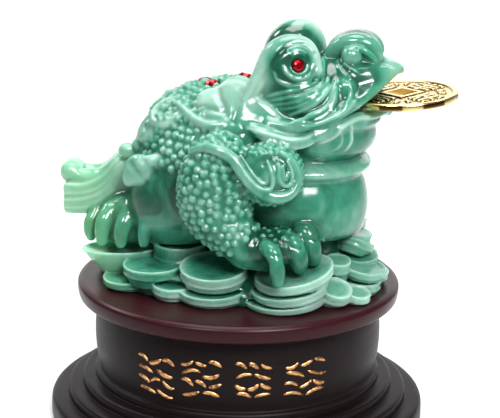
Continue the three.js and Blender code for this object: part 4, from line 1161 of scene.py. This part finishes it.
def eased(tree, source, *, first, last, top=1, kind="LINEAR"):
    """A value that grows from 0 to its top while another goes from the first to the last."""
    inputs = {"Value": source, "From Min": first, "From Max": last, "To Max": top}
    return add(tree, "ShaderNodeMapRange", inputs, interpolation_type=kind).outputs["Result"]


def mixed(tree, share, low, high):
    """A colour between two, by a value."""
    # Inputs 6 and 7 of this node are its two colours, and output 2 is the mixed one
    return add(tree, "ShaderNodeMix", {0: share, 6: low, 7: high}, data_type="RGBA").outputs[2]


def shades(tree, share, colour, low, high):
    """A colour between a darker and a lighter shade of itself, by a value."""
    return mixed(tree, share, shaded(colour, low), shaded(colour, high))


def noise(tree, place, size, detail=3.0, distortion=0.0):
    """A cloudy value with features of a size in millimetres."""
    inputs = {"Vector": place, "Scale": 1 / (size * MM), "Detail": detail, "Distortion": distortion}
    return add(tree, "ShaderNodeTexNoise", inputs).outputs["Fac"]


def stretched(tree, place, shares):
    """Coordinates stretched along the axes."""
    return add(tree, "ShaderNodeMapping", {"Vector": place, "Scale": shares}).outputs["Vector"]


def coordinate(tree, place, axis):
    """One coordinate of a place."""
    return add(tree, "ShaderNodeSeparateXYZ", {"Vector": place}).outputs[axis]


def attribute(tree, name):
    """A number stored on the mesh."""
    return add(tree, "ShaderNodeAttribute", attribute_name=name).outputs["Fac"]


def dusty(tree, place, colour, base, *, size, first, last, share, lift):
    """A colour with specks of dust of a size, where a noise goes from the first value to the last."""
    specks = ramp(tree, noise(tree, place, size, 2), (first, (0, 0, 0, 1)), (last, (1, 1, 1, 1)))
    return mixed(tree, scaled(tree, specks, share), colour, shaded(base, lift))


def jade_resin(finish):
    """Cast resin that looks like jade: deep green in the hollows, where the darkening is painted shade, and
    milky where it is thin or pale, the milk on thin crests partly painted light.
    """
    material, tree, place = fresh_material("jade_green_cast_resin")
    # Milky swirls of the casting, and faint streaks that run down it
    swirl = noise(tree, place, 20, 3, 1.4)
    streak = noise(tree, stretched(tree, place, (1, 1, 0.22)), 2.6, 4, 0.4)
    tone = attribute(tree, "tone")
    # The shift makes up for part of what the swirls and streaks add
    # Paler on convex crests: partly the resin's milky casting, partly painted light where thin edges let
    # light through
    depth = scaled(tree, attribute(tree, "crest"), 0.2, scaled(tree, tone, 0.72, -0.23))
    depth = scaled(tree, streak, 0.12, scaled(tree, swirl, 0.56, depth))
    deep, body, milky = finish.deep_green, finish.body_green, finish.milky_green
    colour = ramp(tree, depth, (0.05, shaded(deep, 0.6)), (0.22, deep), (0.38, body),
                  (0.74, shaded(milky, 0.8)), (0.92, milky))
    # The casting is yellower at the tail
    warm = eased(tree, coordinate(tree, place, "X"), first=-0.036, last=-0.056, top=0.3)
    colour = mixed(tree, warm, colour, finish.tail_green)
    # Painted shade: the colour darkens towards the deep green in the hollows
    colour = mixed(tree, scaled(tree, attribute(tree, "hollow"), 0.5), colour, shaded(deep, 0.8))
    # Polished, with a slightly uneven gloss, and duller where the resin is milky
    dull = eased(tree, tone, first=0.64, last=0.84, top=0.22)
    uneven = scaled(tree, noise(tree, place, 6), 0.12, 0.09)
    return finished(material, tree, {
        "Base Color": colour, "Roughness": scaled(tree, uneven, 1, dull),
        "IOR": 1.46, "Specular IOR Level": 0.4, "Subsurface Weight": 0.85,
        "Subsurface Radius": (0.5, 1.0, 0.75), "Subsurface Scale": 5.0 * MM,
        "Coat Weight": 0.12, "Coat Roughness": 0.04,
    })


def stained_stand(finish):
    """Dark stained stand: satin lacquer, faint turning lines and dust."""
    material, tree, place = fresh_material("dark_stained_stand")
    base = finish.stand_colour
    grain = noise(tree, stretched(tree, place, (0.25, 0.25, 3)), 4, 5)
    colour = shades(tree, grain, base, 0.75, 1.3)
    colour = dusty(tree, place, colour, base, size=0.8, first=0.7, last=0.76, share=0.12, lift=9)
    bump = add(tree, "ShaderNodeBump", {"Height": grain, "Distance": 0.04 * MM, "Strength": 0.4})
    return finished(material, tree, {
        "Base Color": colour, "Roughness": scaled(tree, grain, 0.18, 0.34),
        "Normal": bump.outputs["Normal"], "IOR": 1.45, "Specular IOR Level": 0.12,
    })


def red_brown_top(finish):
    """Red-brown lacquer of the revolving top, nearly black from above."""
    material, tree, place = fresh_material("red_brown_lacquer")
    base = finish.top_colour
    grain = noise(tree, stretched(tree, place, (0.4, 3, 3)), 5, 4)
    colour = shades(tree, grain, base, 0.7, 1.35)
    colour = dusty(tree, place, colour, base, size=0.9, first=0.72, last=0.77, share=0.14, lift=8)
    return finished(material, tree, {
        "Base Color": colour, "Roughness": scaled(tree, grain, 0.12, 0.26), "IOR": 1.45,
        "Specular IOR Level": 0.16,
    })


def gilt_coin_metal(finish):
    """Bright gilding, worn to brown in the corners of its relief, with painted dark reflections at places of
    its edge.
    """
    material, tree, place = fresh_material("gilt_coin_metal")
    cloud = noise(tree, place, 3)
    colour = shades(tree, cloud, finish.coin_colour, 0.9, 1.08)
    # Brown worn into the relief's corners, and painted dark reflections on the edge
    colour = mixed(tree, scaled(tree, attribute(tree, "corner"), 0.95), colour, finish.worn_and_reflection_colour)
    return finished(material, tree, {
        "Base Color": colour, "Roughness": scaled(tree, cloud, 0.14, 0.14), "Metallic": 1.0})


def gilt_paint(finish):
    """Copper-gold paint of the raised strokes, worn to brown in places."""
    material, tree, place = fresh_material("copper_gold_paint")
    wear = noise(tree, place, 1.4)
    colour = ramp(tree, wear, (0.36, shaded(finish.gilt_colour, 0.25)), (0.52, finish.gilt_colour))
    return finished(material, tree, {
        "Base Color": colour, "Roughness": scaled(tree, wear, -0.3, 0.5), "Metallic": 0.8})


def red_stone(finish):
    """Foil-backed red stone: the foil throws light back through the colour."""
    material, tree, place = fresh_material("foil_backed_red_stone")
    return finished(material, tree, {
        "Base Color": shades(tree, noise(tree, place, 1.1, 1), finish.stone_colour, 0.2, 1.1),
        "Roughness": 0.16, "Metallic": 0.85, "IOR": 1.6, "Coat Weight": 0.1, "Coat Roughness": 0.02,
    })


def white_table(finish):
    """Smooth white table, painted darker in front of the stand as shade where less light falls, so that the
    stand mirrors less of it.
    """
    material, tree, place = fresh_material("white_table")
    # Painted shade: darker towards the front
    share = eased(tree, coordinate(tree, place, "Y"), first=-0.3, last=-0.03, kind="SMOOTHSTEP")
    colour = mixed(tree, share, shaded(finish.table_colour, 0.42), finish.table_colour)
    return finished(material, tree, {"Base Color": colour, "Roughness": 0.6})


def dress(piece, material):
    """Gives a piece its one material."""
    piece.data.materials.clear()
    piece.data.materials.append(material)


# Pieces
FOOT_HEIGHT = 8.0
# Steps between foot and drum: radius and height
FOOT_STEPS = [(64.3, 4.0), (58.8, 3.5)]
DRUM_FLOOR = FOOT_HEIGHT + sum(height for _, height in FOOT_STEPS)
# The bead at the drum's foot: its height with the hollow over it, and the radius of that hollow
BEAD_HEIGHT = 3.1
DRUM_WAIST = DRUM_BEAD - 1.7
BOSS_ROOM = 0.4


def drum_radius(height):
    """Radius of the drum's bulging side at a height."""
    low = DRUM_FLOOR + BEAD_HEIGHT
    t = (height - low) / (DRUM_TOP - low)
    chord = DRUM_WAIST + (DRUM_EDGE - DRUM_WAIST) * t
    return chord + (DRUM_BELLY - (DRUM_WAIST + DRUM_EDGE) / 2) * 4 * t * (1 - t)


def stand_profile():
    """Corners of the stand: [radius, height, rounding]."""
    profile = [(0, 0, 0), (FOOT_RADIUS, 0, 1.2), (FOOT_RADIUS, FOOT_HEIGHT, 3.0)]
    level = FOOT_HEIGHT
    for radius, height in FOOT_STEPS:
        profile += [(radius, level, 0.4), (radius, level + height, 2.4)]
        level += height
    profile += [(DRUM_BEAD, level, 0.4), (DRUM_BEAD, level + 2.4, 1.1)]
    profile.append((DRUM_WAIST, level + BEAD_HEIGHT, 0.5))
    for height in np.linspace(level + BEAD_HEIGHT, DRUM_TOP, 15)[1:-1]:
        profile.append((drum_radius(height), height, 0))
    hole, floor = BOSS_RADIUS + BOSS_ROOM, DRUM_TOP - BOSS_LENGTH
    return profile + [(DRUM_EDGE, DRUM_TOP, 0.8), (hole, DRUM_TOP, 0.2), (hole, floor, 0.2), (0, floor, 0)]


def disc_profile():
    """Corners of the revolving top, with a shallow bevel round its face."""
    low = DISC_TOP - DISC_THICKNESS
    return [
        (0, low - BOSS_LENGTH, 0), (BOSS_RADIUS, low - BOSS_LENGTH, 0.5), (BOSS_RADIUS, low, 0.2),
        (DISC_RADIUS - 0.6, low, 1.2), (DISC_RADIUS, low + 3, 2), (DISC_RADIUS, DISC_TOP - 1.3, 0.8),
        (DISC_RADIUS - 1.6, DISC_TOP, 0.8), (0, DISC_TOP, 0),
    ]


# Groups of strokes on the drum: first and last bearing in degrees from the front, low and high edge
STROKE_GROUPS = [
    (-40.7, -23.8, 21, 37), (-21.3, -5.2, 23.2, 38.7), (-0.4, 13.7, 23.4, 38.4), (18.4, 36.8, 22.4, 38.2),
]
STROKE_ROWS = 4
STROKE_SIDES = 8
# Where a stroke starts and ends in its place, as shares of its width, its slope and bow as shares of
# a row's height, and its half width in millimetres
STROKE_START, STROKE_STOP = (0.0, 0.1), (0.86, 0.98)
STROKE_SLOPE, STROKE_BOW = (0.25, 0.6), (0.1, 0.3)
STROKE_WIDTH = (0.7, 0.95)
# Share of its width and height that a stroke keeps at its ends
STROKE_END = 0.35


def stroke_paths(group, random):
    """Short curved strokes in even rows, each a list of [bearing, height, half width]."""
    first, last, low, high = group
    paths = []
    pitch = (high - low) / STROKE_ROWS
    for row in range(STROKE_ROWS):
        number = (2, 3)[row % 2]
        width = (last - first) / number
        level = low + (row + 0.5) * pitch
        for i in range(number):
            start = first + width * (i + random.uniform(*STROKE_START))
            end = first + width * (i + random.uniform(*STROKE_STOP))
            slope = random.choice([-1, 1]) * random.uniform(*STROKE_SLOPE) * pitch
            bow = random.choice([-1, 1]) * random.uniform(*STROKE_BOW) * pitch
            size = random.uniform(*STROKE_WIDTH)
            path = []
            for t in np.linspace(0, 1, 9):
                # Fullest near its middle
                taper = size * (0.4 + 0.6 * math.sin(math.pi * min(1, t * 0.8 + 0.12)))
                height = level + slope * (t - 0.5) + bow * 4 * t * (1 - t)
                path.append([start + (end - start) * t, height, taper])
            paths.append(path)
    return paths


def stroke_mesh(name, paths, rise):
    """Raised strokes on the drum's side: flattened tubes, half sunk in it."""
    vertices = []
    faces = []
    for path in paths:
        base = len(vertices)
        line = []
        for bearing, height, size in path:
            a = math.radians(bearing)
            out = np.array([math.sin(a), -math.cos(a), 0])
            line.append((out * drum_radius(height) + [0, 0, height], out, size))
        for k, (point, out, size) in enumerate(line):
            side = np.cross(out, line[min(k + 1, len(line) - 1)][0] - line[max(k - 1, 0)][0])
            side = side / np.linalg.norm(side)
            shrink = STROKE_END if k in (0, len(line) - 1) else 1.0
            for c, s, _ in circle(shrink, 0, STROKE_SIDES):
                vertices.append(point + side * c * size + out * s * rise)
        # The corner that a quad starts at sets the diagonal along which it is split
        faces += [quad[1:] + quad[:1] for quad in bands(len(line), STROKE_SIDES, base)]
        last = len(vertices) - STROKE_SIDES
        faces.append(tuple(base + i for i in range(STROKE_SIDES)))
        faces.append(tuple(last + i for i in reversed(range(STROKE_SIDES))))
    return new_object(name, vertices, faces, Matrix.Scale(MM, 4))


COIN_HOLE = 8.5
# Widths of the rim and of the border round the hole, and how far each of them and a bar slopes
RIM_WIDTH, BORDER_WIDTH = 2.4, 1.5
RIM_SLOPE, BORDER_SLOPE, BAR_SLOPE = 0.4, 0.3, 0.35
EDGE_ROUNDING = 0.5
# Rings of points from the hole to the rim, and round the edge by angle
COIN_SIDES = 288
COIN_RINGS = 60
EDGE_ANGLES = [60, 30, 0, -30, -60]
# Brown patches on the coin's edge, painted dark reflections: bearing and half width, in degrees
PAINTED_EDGE_REFLECTIONS = [(-151, 9), (-100, 13), (-54, 14), (-12, 5), (40, 8), (95, 12), (150, 6)]
REFLECTION_FADE = 1.5
# The coin's relief: raised bars and dots between the border of the hole and the rim.
# Each row: x, y of both ends and the half width, for one quarter; it repeats four times
COIN_BARS = [
    [-4.4, 8.4, 4.2, 8.8, 0.7], [-4.6, 11.2, -1, 10.6, 0.65], [1.4, 10.6, 4.8, 11.4, 0.65],
    [-4.2, 13.6, 4.4, 13.4, 0.7], [-0.4, 11.8, 0.6, 16.4, 0.6], [-4.6, 15.8, -2.6, 16.4, 0.6],
    [2.8, 16.4, 4.8, 15.6, 0.6], [7.6, 10.6, 8.6, 12.4, 0.6], [10.4, 8.8, 12, 9.6, 0.6],
]


def coin_relief(x, y):
    """How raised the coin's face is at points, from 0 in the sunk field to 1."""
    rim = np.clip((np.hypot(x, y) - (COIN_RADIUS - RIM_WIDTH)) / RIM_SLOPE, 0, 1)
    square = np.maximum(np.abs(x), np.abs(y))
    border = 1 - np.clip((square - (COIN_HOLE / 2 + BORDER_WIDTH)) / BORDER_SLOPE, 0, 1)
    raised = np.maximum(rim, border)
    for c, s in ((1, 0), (0, 1), (-1, 0), (0, -1)):
        u, v = x * c + y * s, y * c - x * s
        for x0, y0, x1, y1, half in COIN_BARS:
            dx, dy = x1 - x0, y1 - y0
            t = np.clip(((u - x0) * dx + (v - y0) * dy) / (dx * dx + dy * dy), 0, 1)
            gap = np.hypot(u - x0 - dx * t, v - y0 - dy * t) - half
            raised = np.maximum(raised, 1 - np.clip(gap / BAR_SLOPE, 0, 1))
    return raised


def coin_wear_and_reflections(share, bearing):
    """How brown the gilding is, ring by ring: worn in the relief's corners, painted dark reflections on the
    edge.
    """
    bend = sum(np.abs(share - np.roll(share, step, axis)) for axis in (1, 0) for step in (1, -1))
    wear = np.clip(bend * (1.3 - share) + 0.3 * (1 - share), 0, 1)
    # Painted dark reflections in patches round the edge
    worn = np.zeros(COIN_SIDES)
    for middle, half in PAINTED_EDGE_REFLECTIONS:
        apart = np.abs((bearing - middle + 180) % 360 - 180)
        worn = np.maximum(worn, np.clip((half - apart) / REFLECTION_FADE, 0, 1))
    # The three middle rings of the edge
    wear[COIN_RINGS + 2:COIN_RINGS + 5] = np.maximum(worn, 0.1)
    return wear


def coin_mesh(name, sunk):
    """The gilt coin: square hole with a border, sunk field with relief, rounded rim."""
    spins = 2 * np.pi * np.arange(COIN_SIDES) / COIN_SIDES
    across, up = np.cos(spins), np.sin(spins)
    inner = COIN_HOLE / 2 / np.maximum(np.abs(across), np.abs(up))
    outer = COIN_RADIUS - EDGE_ROUNDING
    face = []
    for k in range(COIN_RINGS + 1):
        r = inner + (outer - inner) * k / COIN_RINGS
        share = coin_relief(r * across, r * up)
        face.append((r, COIN_HALF - sunk + share * sunk, share))
    edge = []
    for a in np.radians(EDGE_ANGLES):
        height = (COIN_HALF - 0.1) * math.sin(a) * 1.1
        edge.append((outer + EDGE_ROUNDING * math.cos(a), np.full(COIN_SIDES, height), np.ones(COIN_SIDES)))
    rows = face + edge + [(r, -z, share) for r, z, share in reversed(face)]
    vertices = np.concatenate([np.stack([r * across, r * up, z], 1) for r, z, _ in rows])
    placement = world_matrix() @ coin_matrix() @ Matrix.Rotation(math.radians(COIN_TURN), 4, "Z")
    piece = new_object(name, vertices, bands(len(rows), COIN_SIDES, closed=True), placement)
    wear = coin_wear_and_reflections(np.stack([share for _, _, share in rows]), np.degrees(spins) + COIN_TURN)
    add_values(piece.data, "corner", wear.ravel())
    piece.data.set_sharp_from_angle(angle=math.radians(50))
    return piece


# Courses of a stone, as shares of its diameter: radius, height and turn in shares of a facet
GEM_COURSES = [(0.45, -0.27, 0), (0.5, 0, 0), (0.5, 0.05, 0), (0.42, 0.15, 0.5), (0.28, 0.23, 0)]
GEM_SIDES = 8


def gem_mesh(name, diameter, matrix):
    """A round brilliant: flat back, girdle, two courses of facets and a table."""
    vertices = [(0, 0, GEM_COURSES[0][1] * diameter)]
    for radius, height, shift in GEM_COURSES:
        vertices += circle(radius * diameter, height * diameter, GEM_SIDES, shift)
    faces = [(0, 1 + (i + 1) % GEM_SIDES, 1 + i) for i in range(GEM_SIDES)]
    for k, (below, above) in enumerate(zip(GEM_COURSES[:-1], GEM_COURSES[1:])):
        a, b = 1 + k * GEM_SIDES, 1 + (k + 1) * GEM_SIDES
        for i in range(GEM_SIDES):
            j = (i + 1) % GEM_SIDES
            if below[2] == above[2]:
                faces.append((a + i, a + j, b + j, b + i))
            elif above[2] > below[2]:
                faces += [(a + i, a + j, b + i), (a + j, b + j, b + i)]
            else:
                faces += [(a + i, b + j, b + i), (a + i, a + j, b + j)]
    faces.append(tuple(range(len(vertices) - GEM_SIDES, len(vertices))))
    return new_object(name, vertices, faces, world_matrix() @ matrix, smooth=False)


# Settings that a user would change
def colour_setting(name, description, hex_colour):
    """A colour property with a default."""
    return bpy.props.FloatVectorProperty(
        name=name, description=description, subtype="COLOR", size=4, min=0, max=1,
        default=linear(hex_colour))


def size_setting(name, description, size, least, most):
    """A length property with a default and limits, given in millimetres."""
    return bpy.props.FloatProperty(
        name=name, description=description, default=size * MM, min=least * MM, max=most * MM, unit="LENGTH",
        precision=5)


def power_setting(name, description, power):
    """A property for the power of a light, in watts."""
    return bpy.props.FloatProperty(
        name=name, description=description, default=power, min=0, max=200, unit="POWER")


class ToadFinish(bpy.types.PropertyGroup):
    """Colours of the pieces."""
    deep_green: colour_setting("Deep green", "Resin in its darkest places", "#1f5a44")
    body_green: colour_setting("Body green", "Resin over most of the figure", "#3f8f76")
    milky_green: colour_setting("Milky green", "Resin where it is palest", "#a8d2c0")
    tail_green: colour_setting("Tail green", "Warmer resin at the tail", "#9fe6a4")
    stand_colour: colour_setting("Stand", "Stain of the stand", "#170f10")
    top_colour: colour_setting("Revolving top", "Lacquer of the revolving top", "#300f15")
    coin_colour: colour_setting("Coin", "Gilding of the coin", "#f0d490")
    # Brown of wear in the coin's relief, also the colour of the painted dark reflections on its edge
    worn_and_reflection_colour: colour_setting("Worn gilding", "Brown in the coin's relief and on its edge", "#3c1c0a")
    gilt_colour: colour_setting("Strokes", "Paint of the raised strokes", "#d9a06a")
    stone_colour: colour_setting("Stones", "Red of the cut stones", "#d10a1c")
    table_colour: colour_setting("Table", "The white table", "#f6f6f6")


class ToadSizes(bpy.types.PropertyGroup):
    """Sizes of the figure's making."""
    clay_step: size_setting("Clay step", "Grid size of the clay", 0.5, 0.3, 2)
    quick_step: size_setting("Quick step", "Grid size of the clay for quick looks", 0.9, 0.3, 3)
    most_triangles: bpy.props.IntProperty(
        name="Most triangles", description="The figure's skin is thinned to this", default=192000, min=20000,
        max=199000)
    stroke_rise: size_setting("Stroke rise", "How far the gilt strokes stand off the drum", 0.45, 0.05, 1)
    coin_relief: size_setting("Coin relief", "Depth of the coin's field below its rim", 0.5, 0.1, 0.8)


class ToadLight(bpy.types.PropertyGroup):
    """Strength of the studio's light."""
    sky: bpy.props.FloatProperty(
        name="Sky", description="Strength of the light from all round", default=0.2, min=0, max=3)
    front: power_setting("Front", "Power of the soft box before the figure", 7.5)
    overhead: power_setting("Overhead box", "Power of the large box above", 23.5)
    back: power_setting("Back wall", "Power of the wide light behind", 13)
    glint: power_setting("Small boxes", "Power that the small bright boxes take a share of", 4)


def whole(piece, least):
    """Raises an error if a piece has too few faces to be whole."""
    if len(piece.data.polygons) < least:
        raise RuntimeError(piece.name + " came out with too few faces")
    return piece


def declare(piece, body, material, node=None):
    """Says what a piece rides on, its material and the CAD node that it stands for."""
    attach(piece, body)
    if node:
        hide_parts(node)
    dress(piece, material)


class TOAD_OT_stand(bpy.types.Operator):
    """Builds the dark turned stand."""
    bl_idname = "toad.stand"
    bl_label = "Stand"

    def execute(self, context):
        piece = whole(turned("stand", stand_profile()), 1000)
        declare(piece, "stand", stained_stand(context.scene.toad_finish), "base")
        return {"FINISHED"}


class TOAD_OT_strokes(bpy.types.Operator):
    """Lays four groups of gilt strokes on the drum's front."""
    bl_idname = "toad.strokes"
    bl_label = "Gilt strokes"

    def execute(self, context):
        random = np.random.default_rng(5)
        rise = context.scene.toad_sizes.stroke_rise / MM
        material = gilt_paint(context.scene.toad_finish)
        for i, group in enumerate(STROKE_GROUPS):
            piece = whole(stroke_mesh(f"gilt_strokes_{i + 1}", stroke_paths(group, random), rise), 100)
            declare(piece, "stand", material)
        return {"FINISHED"}


class TOAD_OT_disc(bpy.types.Operator):
    """Builds the red-brown revolving top."""
    bl_idname = "toad.disc"
    bl_label = "Revolving top"

    def execute(self, context):
        piece = whole(turned("revolving_top", disc_profile()), 1000)
        declare(piece, "top", red_brown_top(context.scene.toad_finish), "turntable")
        return {"FINISHED"}


# How deep the clay is looked at, over what reach in millimetres and up to what value, for its crests,
# which are partly painted light, and for the painted shade in its hollows
CREST_DEPTH, CREST_REACH, MOST_CREST = 2.0, 1.2, 0.6
PAINTED_SHADE_DEPTH, PAINTED_SHADE_REACH, FULL_PAINTED_SHADE = 4.0, 3.6, 2.2


class TOAD_OT_figure(bpy.types.Operator):
    """Models the toad and its bed of coins as one casting."""
    bl_idname = "toad.figure"
    bl_label = "Toad"

    def execute(self, context):
        sizes = context.scene.toad_sizes
        step = sizes.clay_step / MM
        clay = toad_clay(step)
        vertices, quads = clay.skin()
        piece = whole(new_object("toad_figure", vertices, quads), 10000)
        triangles = 2 * len(quads)
        if triangles > sizes.most_triangles:
            thin_mesh(piece, sizes.most_triangles / triangles)
        mesh = piece.data
        points = np.empty(len(mesh.vertices) * 3, np.float32)
        mesh.vertices.foreach_get("co", points)
        points = points.reshape(-1, 3)
        # Crests: how far the clay stands out of a close blur of itself, painted paler, partly as light
        near = np.clip(clay.field, -CREST_DEPTH, CREST_DEPTH)
        fine = clay.sample(blurred(near, round(CREST_REACH / step)), points) - clay.sample(near, points)
        # Painted shade in the hollows: how far the clay lies inside a wide blur of itself
        wide = np.clip(clay.field, -PAINTED_SHADE_DEPTH, PAINTED_SHADE_DEPTH)
        wide = clay.sample(blurred(wide, round(PAINTED_SHADE_REACH / step)), points)
        add_values(mesh, "tone", clay.sample(clay.tone, points))
        add_values(mesh, "crest", np.clip(fine, -MOST_CREST, MOST_CREST))
        add_values(mesh, "hollow", np.clip(-wide / FULL_PAINTED_SHADE, 0, 1))
        mesh.transform(world_matrix())
        mesh.polygons.foreach_set("use_smooth", [True] * len(mesh.polygons))
        declare(piece, "top", jade_resin(context.scene.toad_finish), "toad")
        return {"FINISHED"}


class TOAD_OT_coin(bpy.types.Operator):
    """Builds the gilt coin held in the mouth."""
    bl_idname = "toad.coin"
    bl_label = "Mouth coin"

    def execute(self, context):
        piece = whole(coin_mesh("gilt_coin", context.scene.toad_sizes.coin_relief / MM), 1000)
        declare(piece, "top", gilt_coin_metal(context.scene.toad_finish), "mouth_coin")
        return {"FINISHED"}


class TOAD_OT_stones(bpy.types.Operator):
    """Sets the red cut stones of the eyes and the back."""
    bl_idname = "toad.stones"
    bl_label = "Stones"

    def execute(self, context):
        material = red_stone(context.scene.toad_finish)
        for node, point, direction, diameter in gem_seats():
            piece = whole(gem_mesh("stone_" + node, diameter, seat_matrix(point, direction)), 20)
            declare(piece, "top", material, node)
        return {"FINISHED"}


# Stage
CAMERA_DISTANCE = 636.0
CAMERA_HEIGHT = 78.8
CAMERA_SIDE = 3.9
CAMERA_DIP = math.radians(15.77)
CAMERA_ROLL = math.radians(1.0)
CAMERA_LENS = 122.4
SENSOR_WIDTH = 36


# Place in metres that the lights face, half the table's side and its gap to the stand
LIT_PLACE = (0, 0, 0.08)
TABLE_HALF = 6.0
TABLE_GAP = 0.2 * MM


def add_camera():
    """The camera at the photograph's place."""
    data = bpy.data.cameras.new("camera")
    data.lens = CAMERA_LENS
    data.sensor_width = SENSOR_WIDTH
    camera = bpy.data.objects.new("camera", data)
    back, up = CAMERA_DISTANCE * math.cos(CAMERA_DIP), CAMERA_DISTANCE * math.sin(CAMERA_DIP)
    place = Vector((CAMERA_SIDE, -back, CAMERA_HEIGHT + up))
    turn = Matrix.Rotation(math.pi / 2 - CAMERA_DIP, 4, "X") @ Matrix.Rotation(CAMERA_ROLL, 4, "Z")
    camera.matrix_world = Matrix.Translation(place * MM) @ turn
    bpy.context.collection.objects.link(camera)
    bpy.context.scene.camera = camera


def add_light(name, place, width, height, power, only_gloss=False):
    """A soft box that faces the figure; one for gloss alone shows only in reflections."""
    data = bpy.data.lights.new(name, "AREA")
    data.shape = "RECTANGLE"
    data.size, data.size_y = width, height
    data.energy = power
    light = bpy.data.objects.new(name, data)
    aim = (Vector(LIT_PLACE) - Vector(place)).to_track_quat("-Z", "Y")
    light.matrix_world = Matrix.Translation(place) @ aim.to_matrix().to_4x4()
    light.visible_camera = False
    light.visible_diffuse = not only_gloss
    bpy.context.collection.objects.link(light)


# Large soft boxes, in metres. Each row: name, setting for its power, place, width and height
SOFT_BOXES = [
    ("overhead_box", "overhead", (-0.1, 0.15, 1.5), 0.85, 0.85),
    ("back_wall", "back", (0, 1.7, 0.6), 2.8, 1),
    ("front_fill", "front", (0.28, -0.66, 0.64), 0.3, 0.3),
]
# Small bright boxes. Each row: name, bearing and rise in degrees seen from the figure, distance,
# size and power share
GLINT_BOXES = [
    ("front_box", -67, 37, 0.9, 0.4, 1.5), ("upper_front_box", -58, 62, 0.8, 0.12, 0.25),
    ("nose_box", 54, 47, 0.8, 0.14, 0.15), ("tail_box", 150, 40, 0.9, 0.2, 0.6),
    ("left_box", -118, 44, 0.9, 0.22, 1.3),
]
FIGURE_MIDDLE = (0.0, 0.0, 0.1)


class TOAD_OT_stage(bpy.types.Operator):
    """Sets the table, the lights, the sky and the camera."""
    bl_idname = "toad.stage"
    bl_label = "Stage"

    def execute(self, context):
        light = context.scene.toad_light
        corners = [(x * TABLE_HALF, y * TABLE_HALF, 0) for x, y in ((-1, -1), (1, -1), (1, 1), (-1, 1))]
        table = new_object("table", corners, [(0, 1, 2, 3)])
        table.location.z = -TABLE_GAP
        dress(table, white_table(context.scene.toad_finish))
        table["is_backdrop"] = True
        world = bpy.data.worlds.new("studio")
        world.use_nodes = True
        sky = world.node_tree.nodes["Background"]
        sky.inputs["Color"].default_value = (1, 1, 1, 1)
        sky.inputs["Strength"].default_value = light.sky
        context.scene.world = world
        for name, setting, place, width, height in SOFT_BOXES:
            add_light(name, place, width, height, getattr(light, setting))
        for name, bearing, rise, distance, size, share in GLINT_BOXES:
            a, e = math.radians(bearing), math.radians(rise)
            direction = Vector((math.cos(a) * math.cos(e), math.sin(a) * math.cos(e), math.sin(e)))
            place = Vector(FIGURE_MIDDLE) + direction * distance
            add_light(name, place, size, size, light.glint * share, only_gloss=True)
        context.scene.view_settings.view_transform = "Standard"
        add_camera()
        if context.scene.camera is None:
            raise RuntimeError("The camera is missing")
        return {"FINISHED"}


STEPS = (
    TOAD_OT_stand, TOAD_OT_strokes, TOAD_OT_disc, TOAD_OT_figure, TOAD_OT_coin, TOAD_OT_stones,
    TOAD_OT_stage,
)


class TOAD_PT_panel(bpy.types.Panel):
    """Lists the settings and the steps that build the figure."""
    bl_idname = "TOAD_PT_panel"
    bl_label = "Money toad"
    bl_space_type = "VIEW_3D"
    bl_region_type = "UI"
    bl_category = "Toad"

    def draw(self, context):
        for group in (context.scene.toad_sizes, context.scene.toad_finish, context.scene.toad_light):
            box = self.layout.box()
            for name in type(group).__annotations__:
                box.prop(group, name)
        for step in STEPS:
            self.layout.operator(step.bl_idname)


SETTINGS = {"toad_sizes": ToadSizes, "toad_finish": ToadFinish, "toad_light": ToadLight}
CLASSES = tuple(SETTINGS.values()) + STEPS + (TOAD_PT_panel,)


def register():
    """Registers every class and hangs the settings on the scene."""
    for item in CLASSES:
        bpy.utils.register_class(item)
    for name, group in SETTINGS.items():
        setattr(bpy.types.Scene, name, bpy.props.PointerProperty(type=group))


def unregister():
    """Removes the settings and every class, last first."""
    for name in SETTINGS:
        delattr(bpy.types.Scene, name)
    for item in reversed(CLASSES):
        bpy.utils.unregister_class(item)


def main():
    """Builds every piece and the stage, and works out the sizes of the frame and of the pieces."""
    register()
    bpy.ops.toad.stand()
    bpy.ops.toad.strokes()
    bpy.ops.toad.disc()
    bpy.ops.toad.figure()
    bpy.ops.toad.coin()
    bpy.ops.toad.stones()
    bpy.ops.toad.stage()
    boxes = {"cad": CAD_BOUNDS, "visual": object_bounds()}
    sizes = {name: [list(map(float, corner)) for corner in box] for name, box in boxes.items()}


if __name__ == "__main__":
    main()
